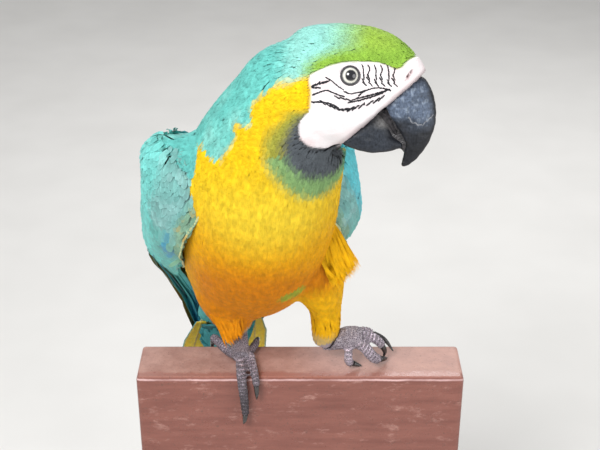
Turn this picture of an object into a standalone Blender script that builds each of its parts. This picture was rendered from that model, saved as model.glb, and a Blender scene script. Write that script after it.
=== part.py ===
"""A life-size blue-and-yellow macaw gripping a cut length of painted rail, on a plain display stand.

Shapes are given in centimetres in four local frames: the perch, the trunk, the head and the tail.
World units are metres, +Z up. The bird faces -Y, and its head is turned to its left, towards +X.
Every flesh solid is the plumage's outer surface; the skin and feathers are the finish over it.
"""

import math

import bmesh
import bpy
from mathutils import Matrix, Vector

CM = 0.01
GAP = 0.0004  # clearance between neighbouring solids

# Driving dimensions, in metres.
PERCH_TOP = 0.40
RAIL_LENGTH, RAIL_DEPTH, RAIL_HEIGHT = 0.28, 0.05, 0.09
RAIL_EDGE = 0.003
BASE_SIZE = Vector((0.30, 0.27, 0.018))
ROD_RADIUS = 0.007
ROD_SPREAD = 0.19
PERCH_ORIGIN = Vector((-0.03, -0.08, PERCH_TOP))  # top front edge of the rail, below the bird

# Plumage resolution.
VOXEL = 0.0035
SMOOTHING_STEPS = 10
FLESH_TRIANGLES = 2000


class Frame:
    """A local frame whose coordinates are centimetres."""

    def __init__(self, origin, x_axis, y_axis, z_axis):
        self.origin = Vector(origin)
        self.axes = tuple(Vector(a).normalized() for a in (x_axis, y_axis, z_axis))

    def at(self, x, y, z):
        return self.origin + CM * (self.axes[0] * x + self.axes[1] * y + self.axes[2] * z)

    def turn(self, x, y, z):
        return self.axes[0] * x + self.axes[1] * y + self.axes[2] * z


def trunk_frame(shoulder, rump, yaw):
    """x is the bird's left, y its back and z runs down the trunk from the shoulders to the tail."""
    down = (rump - shoulder).normalized()
    left = Vector((math.cos(yaw), math.sin(yaw), 0))
    left = (left - down * left.dot(down)).normalized()
    return Frame(shoulder, left, left.cross(down), down)


def head_frame(centre, yaw, roll, pitch):
    """x points along the bill, y to the bird's left and z up out of the crown."""
    turn = Matrix.Rotation(-yaw, 3, "Z") @ Matrix.Rotation(pitch, 3, "Y") @ Matrix.Rotation(-roll, 3, "X")
    return Frame(centre, turn.col[0], turn.col[1], turn.col[2])


PERCH = Frame(PERCH_ORIGIN, (1, 0, 0), (0, 1, 0), (0, 0, 1))
SHOULDER = PERCH.at(0.2, -3.6, 21.4)
RUMP = PERCH.at(-2.0, 7.0, 4.0)
BODY = trunk_frame(SHOULDER, RUMP, math.radians(14))
HEAD = head_frame(PERCH.at(6.5, -5.9, 29.9), math.radians(6), math.radians(18), 0.0)
TAIL_ROOT = PERCH.at(-3.7, 9.6, 0.6)
TAIL_TIP = PERCH.at(-9.0, 31.0, -36.0)
TAIL = trunk_frame(TAIL_ROOT, TAIL_TIP, math.radians(14))

# Trunk and neck, from the tail's root to the back of the head: x, y, z in the perch frame, then
# half the width and half the depth.
SPINE = (
    (-4.3, 11.8, -3.2, 2.7, 1.2),
    (-3.7, 9.6, 0.6, 3.0, 1.35),
    (-2.7, 8.2, 2.8, 3.5, 2.0),
    (-1.6, 6.2, 5.9, 4.5, 3.6),
    (-1.05, 3.8, 9.3, 5.65, 5.0),
    (-0.6, 1.3, 12.8, 6.1, 5.8),
    (-0.3, -1.0, 16.3, 6.3, 5.9),
    (0.0, -2.7, 19.5, 6.2, 5.5),
    (0.65, -3.8, 22.4, 5.9, 5.0),
    (1.6, -4.6, 24.9, 5.3, 4.5),
    (2.6, -5.2, 27.1, 4.7, 3.9),
    (3.5, -5.6, 29.1, 4.2, 3.3),
    (4.3, -5.8, 30.3, 2.4, 2.2),
)
# Head sections along the bill axis: x, top, widest level, bottom, half width, in the head frame.
SKULL = (
    (-4.6, 0.9, -0.9, -2.6, 1.3),
    (-3.9, 2.4, -1.0, -3.7, 2.2),
    (-3.0, 2.95, -1.1, -4.5, 2.7),
    (-2.0, 3.2, -1.3, -5.0, 2.85),
    (-1.0, 3.3, -1.3, -5.15, 2.75),
    (0.0, 3.27, -1.1, -5.1, 2.5),
    (1.0, 3.2, -1.0, -4.8, 2.25),
    (2.0, 2.98, -0.9, -4.3, 2.0),
    (3.0, 2.57, -0.8, -3.6, 1.8),
    (4.0, 1.8, -0.7, -2.9, 1.6),
    (4.8, 0.85, -0.7, -2.1, 1.3),
    (5.3, 0.1, -0.7, -1.4, 0.9),
)
FACE_TOP = (4.75, -0.2)  # where the bill's rear edge crosses the forehead, and the chin
FACE_BOTTOM = (-0.35, -4.95)
EYE_CENTRE = (0.0, 1.98, -0.27)
EYE_RADIUS = 0.68
# Upper bill: culmen x, z, cutting edge x, z, half width at the cutting edge, half width at the ridge.
UPPER_BILL = (
    (4.1, 0.1, 1.9, -2.0, 1.5, 0.75),
    (4.8, -0.15, 2.2, -2.2, 1.52, 0.75),
    (5.4, -0.8, 2.5, -2.5, 1.5, 0.7),
    (5.8, -1.75, 2.78, -2.95, 1.45, 0.65),
    (5.95, -2.8, 3.1, -3.4, 1.35, 0.6),
    (5.85, -3.8, 3.5, -4.0, 1.15, 0.5),
    (5.5, -4.75, 3.9, -4.55, 0.9, 0.4),
    (5.0, -5.55, 3.95, -5.1, 0.62, 0.3),
    (4.45, -6.15, 3.85, -5.8, 0.36, 0.2),
    (3.85, -6.5, 3.72, -6.38, 0.12, 0.09),
)
# Lower bill: rim x, z, keel x, z, half width at the rim, half width at the keel.
LOWER_BILL = (
    (0.4, -3.4, -1.1, -4.7, 1.25, 0.7),
    (1.6, -2.75, -0.2, -5.15, 1.22, 0.8),
    (2.4, -2.95, 0.8, -5.45, 1.18, 0.75),
    (2.75, -3.65, 1.8, -5.55, 1.1, 0.68),
    (3.0, -4.25, 2.8, -5.4, 0.98, 0.6),
    (3.68, -4.72, 3.76, -5.08, 0.6, 0.42),
)
# The tongue, which fills the slit between the bills: x, z, half width and half height, in the head frame.
TONGUE = (
    (1.5, -2.3, 0.5, 0.35),
    (2.1, -2.55, 0.75, 0.4),
    (2.65, -2.95, 0.8, 0.36),
    (2.95, -3.5, 0.72, 0.3),
    (3.25, -4.1, 0.5, 0.24),
    (3.5, -4.45, 0.2, 0.1),
)
TONGUE_UP = (0.7, 0.7)  # x and z of its upper side, towards the upper bill
TONGUE_RINGS = 6
TONGUE_SIDES = 8
# Each thigh: x, y, z and radius in the perch frame, from inside the trunk down to the heel.
THIGHS = {
    "right": (
        (-2.4, 1.2, 11.5, 3.4),
        (-2.9, 2.0, 8.3, 3.2),
        (-2.9, 2.9, 5.6, 2.3),
        (-2.6, 3.5, 3.8, 1.6),
        (-2.4, 3.7, 2.7, 1.1),
    ),
    "left": (
        (3.6, 0.6, 12.0, 2.9),
        (4.5, 1.3, 8.8, 2.3),
        (5.1, 2.0, 6.0, 1.45),
        (5.2, 2.4, 3.6, 1.2),
        (5.0, 2.6, 1.9, 0.95),
    ),
}
# Shanks and toes: x, y, z and radius in the perch frame. The right foot grips the rail with two
# toes over each edge. The left one lies on the rail with its toes curled in.
SHANKS = {
    "right": ((-2.3, 3.9, 3.0, 0.7), (-2.2, 3.1, 2.0, 0.78), (-2.15, 2.2, 1.35, 0.88),
              (-2.1, 1.5, 1.1, 0.8)),
    "left": ((4.9, 2.6, 1.9, 0.7), (5.7, 2.5, 2.1, 0.85), (6.7, 2.4, 2.5, 1.0),
             (7.6, 2.35, 2.65, 1.05), (8.2, 2.35, 2.5, 0.95)),
}
TOES = {
    "right": (
        ((-2.15, 1.9, 1.05, 0.48), (-2.1, 0.9, 0.85, 0.49), (-2.0, 0.0, 0.58, 0.5),
         (-1.9, -0.62, -0.2, 0.49), (-1.8, -0.66, -1.2, 0.48), (-1.72, -0.6, -2.3, 0.45),
         (-1.7, -0.56, -3.3, 0.41)),
        ((-1.25, 2.0, 1.0, 0.42), (-1.05, 1.0, 0.8, 0.42), (-0.88, 0.2, 0.58, 0.42),
         (-0.75, -0.42, 0.2, 0.41), (-0.7, -0.56, -0.35, 0.38)),
        ((-2.75, 2.3, 0.95, 0.5), (-3.2, 3.1, 0.66, 0.5), (-3.9, 4.1, 0.6, 0.48),
         (-4.45, 5.0, 0.62, 0.46), (-4.75, 5.55, 0.4, 0.42)),
        ((-1.6, 2.6, 1.0, 0.43), (-1.25, 3.4, 0.62, 0.43), (-0.95, 4.3, 0.55, 0.42),
         (-0.85, 4.8, 0.52, 0.4)),
    ),
    "left": (
        ((7.7, 2.0, 2.4, 0.55), (8.45, 1.6, 2.2, 0.58), (8.95, 1.35, 1.65, 0.57),
         (9.35, 1.45, 1.1, 0.54), (9.75, 1.85, 0.72, 0.48)),
        ((8.0, 2.35, 2.6, 0.45), (8.95, 2.45, 2.65, 0.5), (9.65, 2.45, 2.25, 0.5),
         (10.1, 2.5, 1.65, 0.44)),
        ((7.9, 3.1, 2.6, 0.45), (8.6, 3.5, 2.5, 0.48), (9.25, 3.5, 2.2, 0.45)),
        ((7.2, 1.75, 2.0, 0.4), (7.1, 1.1, 1.4, 0.46), (7.2, 1.25, 0.9, 0.47),
         (7.35, 1.5, 0.58, 0.42)),
    ),
}
# Each claw leaves its toe's end: offsets from that end of its middle and tip, in the perch frame.
CLAWS = {
    "right": (
        ((-0.05, -0.12, -0.6), (-0.2, 0.12, -1.2)),
        ((0.03, -0.12, -0.75), (0.0, 0.12, -1.55)),
        ((-0.1, 0.12, -0.7), (-0.1, -0.1, -1.35)),
        ((0.1, 0.62, -0.08), (0.15, 0.95, -0.55)),
    ),
    "left": (
        ((0.5, 0.3, -0.2), (0.85, 0.75, -0.4)),
        ((0.25, 0.0, -0.55), (0.15, -0.05, -1.1)),
        ((1.05, -0.25, -0.35), (1.85, -0.75, -1.3)),
        ((0.5, 0.0, -0.2), (0.95, 0.05, -0.35)),
    ),
}
CLAW_BASE_SHARE = 0.7  # a claw's root radius as a share of its toe's end
# Folded wing sections down the trunk: distance, then outward and backward places of its front edge,
# of its outermost line and of its rear edge, then its thickness.
WING = (
    (-2.6, 6.9, 0.9, 7.7, 2.1, 6.7, 2.7, 0.5),
    (-2.0, 6.5, -0.5, 8.4, 2.0, 6.3, 3.2, 0.9),
    (-0.6, 6.1, -2.0, 9.0, 1.9, 5.6, 4.0, 1.3),
    (1.0, 6.0, -3.0, 9.1, 1.8, 4.8, 4.8, 1.5),
    (3.6, 5.9, -3.2, 9.3, 1.8, 3.6, 5.5, 1.4),
    (7.0, 5.9, -2.8, 9.2, 2.2, 2.8, 6.0, 1.2),
    (11.0, 5.9, -1.3, 8.8, 2.9, 2.2, 6.0, 1.0),
    (15.0, 5.6, 0.5, 7.8, 3.4, 1.6, 5.5, 0.8),
    (19.0, 4.7, 1.8, 6.0, 3.5, 1.1, 4.7, 0.6),
    (24.0, 3.3, 2.2, 4.1, 3.0, 0.8, 3.7, 0.45),
    (29.0, 2.2, 2.0, 2.8, 2.5, 0.6, 2.9, 0.35),
    (34.5, 1.4, 1.7, 1.7, 2.0, 0.6, 2.2, 0.25),
)
WING_DRIFT = 0.0012  # sideways swing of the wing tips with the tail, per cm of distance squared
# Sideways scale of each wing at its wrist and below its elbow, and how far it hangs down: the left
# one is held closer and lower.
WING_HOLD = {"right": (0.97, 0.98, 0.0), "left": (0.8, 1.17, 1.6)}
WING_CUTS = (8.0, 19.0)
WING_NAMES = ("coverts", "secondaries", "primaries")
# Tail feathers from the central pair outwards: length, half width, outward lean in degrees.
RECTRICES = (
    (43.0, 1.35, 0.6),
    (37.0, 1.35, 1.4),
    (32.0, 1.35, 2.2),
    (27.5, 1.3, 3.1),
    (23.5, 1.25, 4.0),
    (20.0, 1.15, 5.0),
)
FEATHER_THICKNESS = 0.0009
FEATHER_STEP = 0.0014
TOP_LAYER = 0.55  # height of the central pair over the tail's axis, in cm
# Feather covers over and under the tail's root: distance, half width, near and far heights.
TAIL_COVERTS = {
    "upper": ((0.05, 2.7, 0.66, 1.35), (4.0, 2.5, 0.66, 1.15), (8.0, 1.8, 0.66, 0.95),
              (11.0, 0.8, 0.66, 0.74)),
    "lower": ((0.05, 2.8, -0.74, -1.35), (3.5, 2.5, -0.74, -1.2), (7.0, 1.7, -0.74, -1.0),
              (9.5, 0.7, -0.74, -0.82)),
}


def clear_scene():
    for obj in list(bpy.data.objects):
        bpy.data.objects.remove(obj, do_unlink=True)


def new_collection(name, hidden=False):
    made = bpy.data.collections.new(name)
    bpy.context.scene.collection.children.link(made)
    made.hide_render = hidden
    return made


def material(name, colour, roughness, metallic=0.0):
    made = bpy.data.materials.new(name)
    made.use_nodes = True
    shader = made.node_tree.nodes["Principled BSDF"]
    shader.inputs["Base Color"].default_value = (*colour, 1.0)
    shader.inputs["Roughness"].default_value = roughness
    shader.inputs["Metallic"].default_value = metallic
    return made


def spline(rows, count):
    """Catmull-Rom through rows of numbers, read at count even steps."""
    made = []
    last = len(rows) - 1
    for step in range(count):
        place = step * last / (count - 1)
        i = min(int(place), last - 1)
        t = place - i
        before, start, end, after = (rows[min(max(i + k, 0), last)] for k in (-1, 0, 1, 2))
        made.append(tuple(
            0.5 * (2 * b + (c - a) * t + (2 * a - 5 * b + 4 * c - d) * t * t
                   + (3 * b - a - 3 * c + d) * t ** 3)
            for a, b, c, d in zip(before, start, end, after)
        ))
    return made


def mesh_object(name, bm, collection, surface):
    bmesh.ops.recalc_face_normals(bm, faces=bm.faces)
    mesh = bpy.data.meshes.new(name)
    bm.to_mesh(mesh)
    bm.free()
    mesh.shade_smooth()
    mesh.materials.append(surface)
    made = bpy.data.objects.new(name, mesh)
    collection.objects.link(made)
    return made


def loft(name, rings, collection, surface):
    """A closed skin through rings of equal count, with a fan of faces over each end."""
    bm = bmesh.new()
    rows = [[bm.verts.new(point) for point in ring] for ring in rings]
    count = len(rows[0])
    for low, high in zip(rows, rows[1:]):
        for k in range(count):
            bm.faces.new((low[k], low[(k + 1) % count], high[(k + 1) % count], high[k]))
    for row in (rows[0], rows[-1]):
        middle = bm.verts.new(sum((v.co for v in row), Vector()) / count)
        for k in range(count):
            bm.faces.new((row[k], row[(k + 1) % count], middle))
    return mesh_object(name, bm, collection, surface)


def evaluated_copy(obj, name, collection):
    """A new object with the mesh that obj's modifiers give. obj is removed."""
    graph = bpy.context.evaluated_depsgraph_get()
    mesh = bpy.data.meshes.new_from_object(obj.evaluated_get(graph))
    made = bpy.data.objects.new(name, mesh)
    made.matrix_world = obj.matrix_world
    collection.objects.link(made)
    bpy.data.objects.remove(obj, do_unlink=True)
    mesh.name = name
    return made


def cut(obj, cutter, name, collection):
    """obj less cutter, as a finished mesh."""
    modifier = obj.modifiers.new("cut", "BOOLEAN")
    modifier.operation = "DIFFERENCE"
    modifier.object = cutter
    return evaluated_copy(obj, name, collection)


def cut_by_all(obj, cutters, name, collection, scratch):
    for cutter in cutters[:-1]:
        obj = cut(obj, cutter, name + "_partly", scratch)
    return cut(obj, cutters[-1], name, collection)


def inflated(obj, distance, collection):
    """A cutter a little larger than obj all round."""
    made = obj.copy()
    made.data = obj.data.copy()
    made.name = obj.name + "_clearance"
    collection.objects.link(made)
    made.hide_render = True
    made.display_type = "WIRE"
    grow = made.modifiers.new("grow", "DISPLACE")
    grow.strength = distance
    grow.mid_level = 0.0
    return made


def half_of(obj, name, point, normal, collection):
    """A closed copy of the part of obj behind the plane, half a gap short of it."""
    bm = bmesh.new()
    bm.from_mesh(obj.data)
    done = bmesh.ops.bisect_plane(
        bm, geom=bm.verts[:] + bm.edges[:] + bm.faces[:], dist=1e-7,
        plane_co=point - normal * GAP / 2, plane_no=normal, clear_outer=True,
    )
    rim = [e for e in done["geom_cut"] if isinstance(e, bmesh.types.BMEdge)]
    bmesh.ops.holes_fill(bm, edges=rim)
    bmesh.ops.triangulate(bm, faces=bm.faces[:])
    return mesh_object(name, bm, collection, obj.data.materials[0])


def tube(name, rows, collection, surface, sides=3):
    """A bent round limb whose radius follows the rows of x, y, z and radius."""
    curve = bpy.data.curves.new(name, "CURVE")
    curve.dimensions = "3D"
    curve.bevel_depth = CM
    curve.bevel_resolution = sides
    curve.use_fill_caps = True
    line = curve.splines.new("POLY")
    line.points.add(len(rows) - 1)
    for point, (x, y, z, radius) in zip(line.points, rows):
        point.co = (*PERCH.at(x, y, z), 1.0)
        point.radius = radius
    guide = bpy.data.objects.new(name + "_line", curve)
    collection.objects.link(guide)
    made = evaluated_copy(guide, name, collection)
    bm = bmesh.new()
    bm.from_mesh(made.data)
    bmesh.ops.remove_doubles(bm, verts=bm.verts, dist=1e-6)
    bpy.data.objects.remove(made, do_unlink=True)
    return mesh_object(name, bm, collection, surface)


def spine_rings(count, sides):
    rings = []
    rows = spline(SPINE, count)
    points = [PERCH.at(*row[:3]) for row in rows]
    for i, row in enumerate(rows):
        along = (points[min(i + 1, count - 1)] - points[max(i - 1, 0)]).normalized()
        across = (BODY.axes[0] - along * BODY.axes[0].dot(along)).normalized()
        out = along.cross(across)
        rings.append([
            points[i] + CM * (across * row[3] * math.cos(a) + out * row[4] * math.sin(a))
            for a in (2 * math.pi * k / sides for k in range(sides))
        ])
    return rings


def skull_rings(count, sides):
    rings = []
    for x, top, middle, bottom, half in spline(SKULL, count):
        ring = []
        for k in range(sides):
            angle = 2 * math.pi * k / sides
            lift = math.sin(angle)
            height = (top - middle) if lift > 0 else (middle - bottom)
            ring.append(HEAD.at(x, half * math.cos(angle), middle + height * lift))
        rings.append(ring)
    return rings


def bill_rings(rows, count, sides):
    """Sections of a bill from its broad cutting edge to its narrow ridge."""
    rings = []
    for ridge_x, ridge_z, edge_x, edge_z, edge_half, ridge_half in spline(rows, count):
        ring = []
        for k in range(sides):
            angle = 2 * math.pi * k / sides
            share = 0.5 - 0.5 * math.cos(angle)
            bulge = (edge_half + (ridge_half - edge_half) * share) * math.sin(angle)
            flat = math.copysign(abs(math.sin(angle)) ** 0.25, math.sin(angle))
            half = (edge_half + (ridge_half - edge_half) * share) * flat
            ring.append(HEAD.at(
                edge_x + (ridge_x - edge_x) * share,
                0.55 * half + 0.45 * bulge,
                edge_z + (ridge_z - edge_z) * share,
            ))
        rings.append(ring)
    return rings


def make_flesh(scratch, plumage):
    """Trunk, neck and head grown together, as one faceted surface."""
    trunk = loft("trunk_form", spine_rings(30, 24), scratch, plumage)
    skull = loft("skull_form", skull_rings(22, 24), scratch, plumage)
    for obj in (trunk, skull):
        obj.select_set(True)
    bpy.context.view_layer.objects.active = trunk
    bpy.ops.object.join()
    trunk.select_set(False)
    remesh = trunk.modifiers.new("grow together", "REMESH")
    remesh.mode = "VOXEL"
    remesh.voxel_size = VOXEL
    smooth = trunk.modifiers.new("smooth", "SMOOTH")
    smooth.iterations = SMOOTHING_STEPS
    thin = trunk.modifiers.new("thin", "DECIMATE")
    graph = bpy.context.evaluated_depsgraph_get()
    thin.ratio = 1.0
    quads = len(trunk.evaluated_get(graph).data.polygons)
    thin.ratio = FLESH_TRIANGLES / (2 * quads)
    return evaluated_copy(trunk, "flesh", scratch)


def make_head_and_neck(flesh, parts, scratch, surfaces):
    face_a = HEAD.at(FACE_TOP[0], 0, FACE_TOP[1])
    run_x, run_z = FACE_TOP[0] - FACE_BOTTOM[0], FACE_TOP[1] - FACE_BOTTOM[1]
    face_normal = HEAD.turn(run_z, 0, -run_x).normalized()
    nape = PERCH.at(3.3, -5.2, 27.9)
    nape_normal = PERCH.turn(0.85, -0.1, 0.52).normalized()
    collar = PERCH.at(1.2, -4.0, 22.6)
    collar_normal = PERCH.turn(0.33, -0.2, 0.9).normalized()

    whole = half_of(flesh, "head_whole", nape, -nape_normal, scratch)
    head = half_of(whole, "faced", face_a, face_normal, scratch)
    rest = half_of(flesh, "rest", nape, nape_normal, scratch)
    half_of(rest, "neck", collar, -collar_normal, parts)
    torso = half_of(rest, "torso", collar, collar_normal, scratch)
    half_of(torso, "trunk", TAIL_ROOT, TAIL.axes[2], parts)

    for side, sign in (("right", -1), ("left", 1)):
        centre = HEAD.at(EYE_CENTRE[0], sign * EYE_CENTRE[1], EYE_CENTRE[2])
        socket = make_ball("socket_" + side, centre, EYE_RADIUS * CM + GAP, scratch, surfaces["eye"])
        socket.hide_render = True
        head = cut(head, socket, "head_" + side, scratch)
        make_ball("eye_" + side, centre, EYE_RADIUS * CM, parts, surfaces["eye"])
    head.name = "head"
    scratch.objects.unlink(head)
    parts.objects.link(head)

    for name, rows, count in (("bill_upper", UPPER_BILL, 14), ("bill_lower", LOWER_BILL, 8)):
        whole = loft(name + "_whole", bill_rings(rows, count, 16), scratch, surfaces["bill"])
        half_of(whole, name, face_a, -face_normal, parts)
        bpy.data.objects.remove(whole, do_unlink=True)
    for obj in (rest, torso):
        bpy.data.objects.remove(obj, do_unlink=True)


def make_tongue(parts, scratch, surfaces):
    """A blunt tongue, fitted to the bills and the face round it."""
    rings = []
    for x, z, half, high in spline(TONGUE, TONGUE_RINGS):
        ring = []
        for k in range(TONGUE_SIDES):
            angle = 2 * math.pi * k / TONGUE_SIDES
            across, up = half * math.sin(angle), high * math.cos(angle)
            ring.append(HEAD.at(x + TONGUE_UP[0] * up, across, z + TONGUE_UP[1] * up))
        rings.append(ring)
    whole = loft("tongue_whole", rings, scratch, surfaces["tongue"])
    around = [inflated(bpy.data.objects[name], GAP, scratch) for name in ("bill_upper", "bill_lower", "head")]
    cut_by_all(whole, around, "tongue", parts, scratch)


def make_ball(name, centre, radius, collection, surface):
    bm = bmesh.new()
    bmesh.ops.create_uvsphere(bm, u_segments=12, v_segments=8, radius=radius)
    bmesh.ops.rotate(bm, matrix=Matrix.Rotation(math.pi / 2, 3, "X"), verts=bm.verts)
    bmesh.ops.translate(bm, vec=centre, verts=bm.verts)
    return mesh_object(name, bm, collection, surface)


def make_leg(side, clearance, parts, scratch, surfaces):
    """A thigh fitted to the trunk, a shank fitted to the thigh, and the foot fitted to the shank."""
    thigh = tube("thigh_whole", spline(THIGHS[side], 11), scratch, surfaces["yellow"], sides=4)
    thigh_clearance = inflated(thigh, GAP, scratch)
    cut(thigh, clearance, "thigh_" + side, parts)
    shank = tube("shank_whole", spline(SHANKS[side], 6), scratch, surfaces["foot"], sides=3)
    shank_clearance = inflated(shank, GAP, scratch)
    cut(shank, thigh_clearance, "shank_" + side, parts)
    make_foot(side, shank_clearance, parts, scratch, surfaces)
    return thigh_clearance


def make_foot(side, clearance, parts, scratch, surfaces):
    """Toes fitted to the shank and to each other, then claws fitted to every toe."""
    clearances = [clearance]
    for number, toe in enumerate(TOES[side], 1):
        whole = tube("toe_whole", spline(toe, 2 * len(toe) - 2), scratch, surfaces["foot"], sides=2)
        toe_clearance = inflated(whole, GAP, scratch)
        cut_by_all(whole, clearances, f"toe_{side}_{number}", parts, scratch)
        clearances.append(toe_clearance)
    for number, (toe, claw) in enumerate(zip(TOES[side], CLAWS[side]), 1):
        x, y, z, radius = toe[-1]
        root = CLAW_BASE_SHARE * radius
        end = Vector((x, y, z))
        start = end - (end - Vector(toe[-2][:3])).normalized() * 0.2
        middle, tip = (end + Vector(offset) for offset in claw)
        rows = ((*start, root), (*middle, 0.72 * root), (*tip, 0.12 * root))
        whole = tube("claw_whole", spline(rows, 6), scratch, surfaces["claw"], sides=1)
        cut_by_all(whole, clearances[1:], f"claw_{side}_{number}", parts, scratch)


def wing_rings(side, hold, count, across):
    """Sections of the folded wing's shell, round its outer face and back along its inner one."""
    wrist, elbow, drop = hold
    rings = []
    for row in spline(WING, count):
        down, front_x, front_y, mid_x, mid_y, rear_x, rear_y, thick = row
        outer, inner = [], []
        for k in range(across):
            t = k / (across - 1)
            a, b, c = (1 - t) ** 2, 2 * t * (1 - t), t * t
            pull_x = 2 * mid_x - (front_x + rear_x) / 2
            pull_y = 2 * mid_y - (front_y + rear_y) / 2
            x = a * front_x + b * pull_x + c * rear_x
            y = a * front_y + b * pull_y + c * rear_y
            slope_x = (1 - t) * (pull_x - front_x) + t * (rear_x - pull_x)
            slope_y = (1 - t) * (pull_y - front_y) + t * (rear_y - pull_y)
            size = math.hypot(slope_x, slope_y)
            depth = thick * (0.25 + 0.75 * math.sin(math.pi * t) ** 0.7)
            outer.append((x, y))
            inner.append((x - slope_y / size * depth, y + slope_x / size * depth))
        ring = outer + inner[::-1]
        share = min(max((down + 2) / 14, 0.0), 1.0)
        scale = side * (wrist + (elbow - wrist) * share)
        drift = WING_DRIFT * max(down, 0.0) ** 2
        rings.append([BODY.at(scale * x - drift, y, down + drop) for x, y in ring])
    return rings


def make_wing(side_name, sign, clearances, parts, scratch, surface):
    rings = wing_rings(sign, WING_HOLD[side_name], 20, 6)
    whole = loft("wing_whole_" + side_name, rings, scratch, surface)
    whole = cut_by_all(whole, clearances, "wing_fitted_" + side_name, scratch, scratch)
    edges = (None, *WING_CUTS, None)
    for name, start, end in zip(WING_NAMES, edges, edges[1:]):
        piece = whole
        if start is not None:
            piece = half_of(piece, "wing_low", BODY.at(0, 0, start), -BODY.axes[2], scratch)
        if end is not None:
            piece = half_of(piece, "wing_high", BODY.at(0, 0, end), BODY.axes[2], scratch)
        piece.data.name = piece.name = f"wing_{side_name}_{name}"
        scratch.objects.unlink(piece)
        parts.objects.link(piece)


def rectrix(name, side, index, collection, surface):
    """One flat, pointed tail feather, its stack place set by its distance from the centre."""
    length, half, lean = RECTRICES[index]
    curve = bpy.data.curves.new(name, "CURVE")
    curve.dimensions = "2D"
    curve.fill_mode = "BOTH"
    curve.extrude = FEATHER_THICKNESS / 2
    steps = 10
    edge = []
    for k in range(steps + 1):
        t = k / steps
        width = half * min(1.0, 0.45 + 3.0 * t) * (1 - t ** 3.2) ** 0.8
        edge.append((width, length * t))
    outline = edge + [(-w, d) for w, d in reversed(edge[:-1])]
    line = curve.splines.new("POLY")
    line.points.add(len(outline) - 1)
    for point, (w, d) in zip(line.points, outline):
        point.co = (w * CM, d * CM, 0, 1)
    line.use_cyclic_u = True
    guide = bpy.data.objects.new(name + "_outline", curve)
    angle = math.radians(lean) * side
    along = TAIL.turn(math.sin(angle), 0, math.cos(angle))
    out = TAIL.turn(0, 1, 0)
    layer = 2 * index + (side < 0) if index < 3 else index + 3
    place = TAIL.at(side * (0.3 + 0.44 * index), TOP_LAYER, 0.05) - out * FEATHER_STEP * layer
    guide.matrix_world = Matrix.Translation(place) @ Matrix(
        (along.cross(out), along, out)
    ).transposed().to_4x4()
    collection.objects.link(guide)
    bpy.context.view_layer.update()
    made = evaluated_copy(guide, name, collection)
    bm = bmesh.new()
    bm.from_mesh(made.data)
    bm.transform(made.matrix_world)
    bmesh.ops.remove_doubles(bm, verts=bm.verts, dist=1e-6)
    bpy.data.objects.remove(made, do_unlink=True)
    return mesh_object(name, bm, collection, surface)


def make_tail_covert(name, rows, parts, surface):
    """A tapering cover with a flat face towards the feathers and a domed one away from them."""
    rings = []
    for down, half, near, far in spline(rows, 8):
        angles = [math.pi * k / 9 for k in range(10)]
        rings.append([
            TAIL.at(half * math.cos(a), near + (far - near) * math.sin(a) ** 0.8, down) for a in angles
        ])
    loft("tail_coverts_" + name, rings, parts, surface)


def block(name, low, high, edge, collection, surface):
    bm = bmesh.new()
    bmesh.ops.create_cube(bm, size=1.0)
    bmesh.ops.scale(bm, vec=high - low, verts=bm.verts)
    bmesh.ops.translate(bm, vec=(low + high) / 2, verts=bm.verts)
    made = mesh_object(name, bm, collection, surface)
    round_edges = made.modifiers.new("edges", "BEVEL")
    round_edges.width = edge
    round_edges.segments = 2
    made.data.shade_flat()
    return made


def make_stand(parts, surfaces):
    rail_low = Vector((-RAIL_LENGTH / 2, PERCH_ORIGIN.y, PERCH_TOP - RAIL_HEIGHT))
    rail_high = Vector((RAIL_LENGTH / 2, PERCH_ORIGIN.y + RAIL_DEPTH, PERCH_TOP))
    block("perch_rail", rail_low, rail_high, RAIL_EDGE, parts, surfaces["paint"])
    half_x, half_y = BASE_SIZE.x / 2, BASE_SIZE.y / 2
    block(
        "stand_base", Vector((-half_x, -half_y, 0)), Vector((half_x, half_y, BASE_SIZE.z)),
        0.002, parts, surfaces["base"],
    )
    rod_low, rod_high = BASE_SIZE.z + GAP, rail_low.z - GAP
    for name, x in (("right", -ROD_SPREAD / 2), ("left", ROD_SPREAD / 2)):
        bm = bmesh.new()
        bmesh.ops.create_cone(
            bm, cap_ends=True, segments=24, radius1=ROD_RADIUS, radius2=ROD_RADIUS,
            depth=rod_high - rod_low,
        )
        centre = Vector((x, (rail_low.y + rail_high.y) / 2, (rod_low + rod_high) / 2))
        bmesh.ops.translate(bm, vec=centre, verts=bm.verts)
        mesh_object("stand_rod_" + name, bm, parts, surfaces["rod"])


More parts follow.
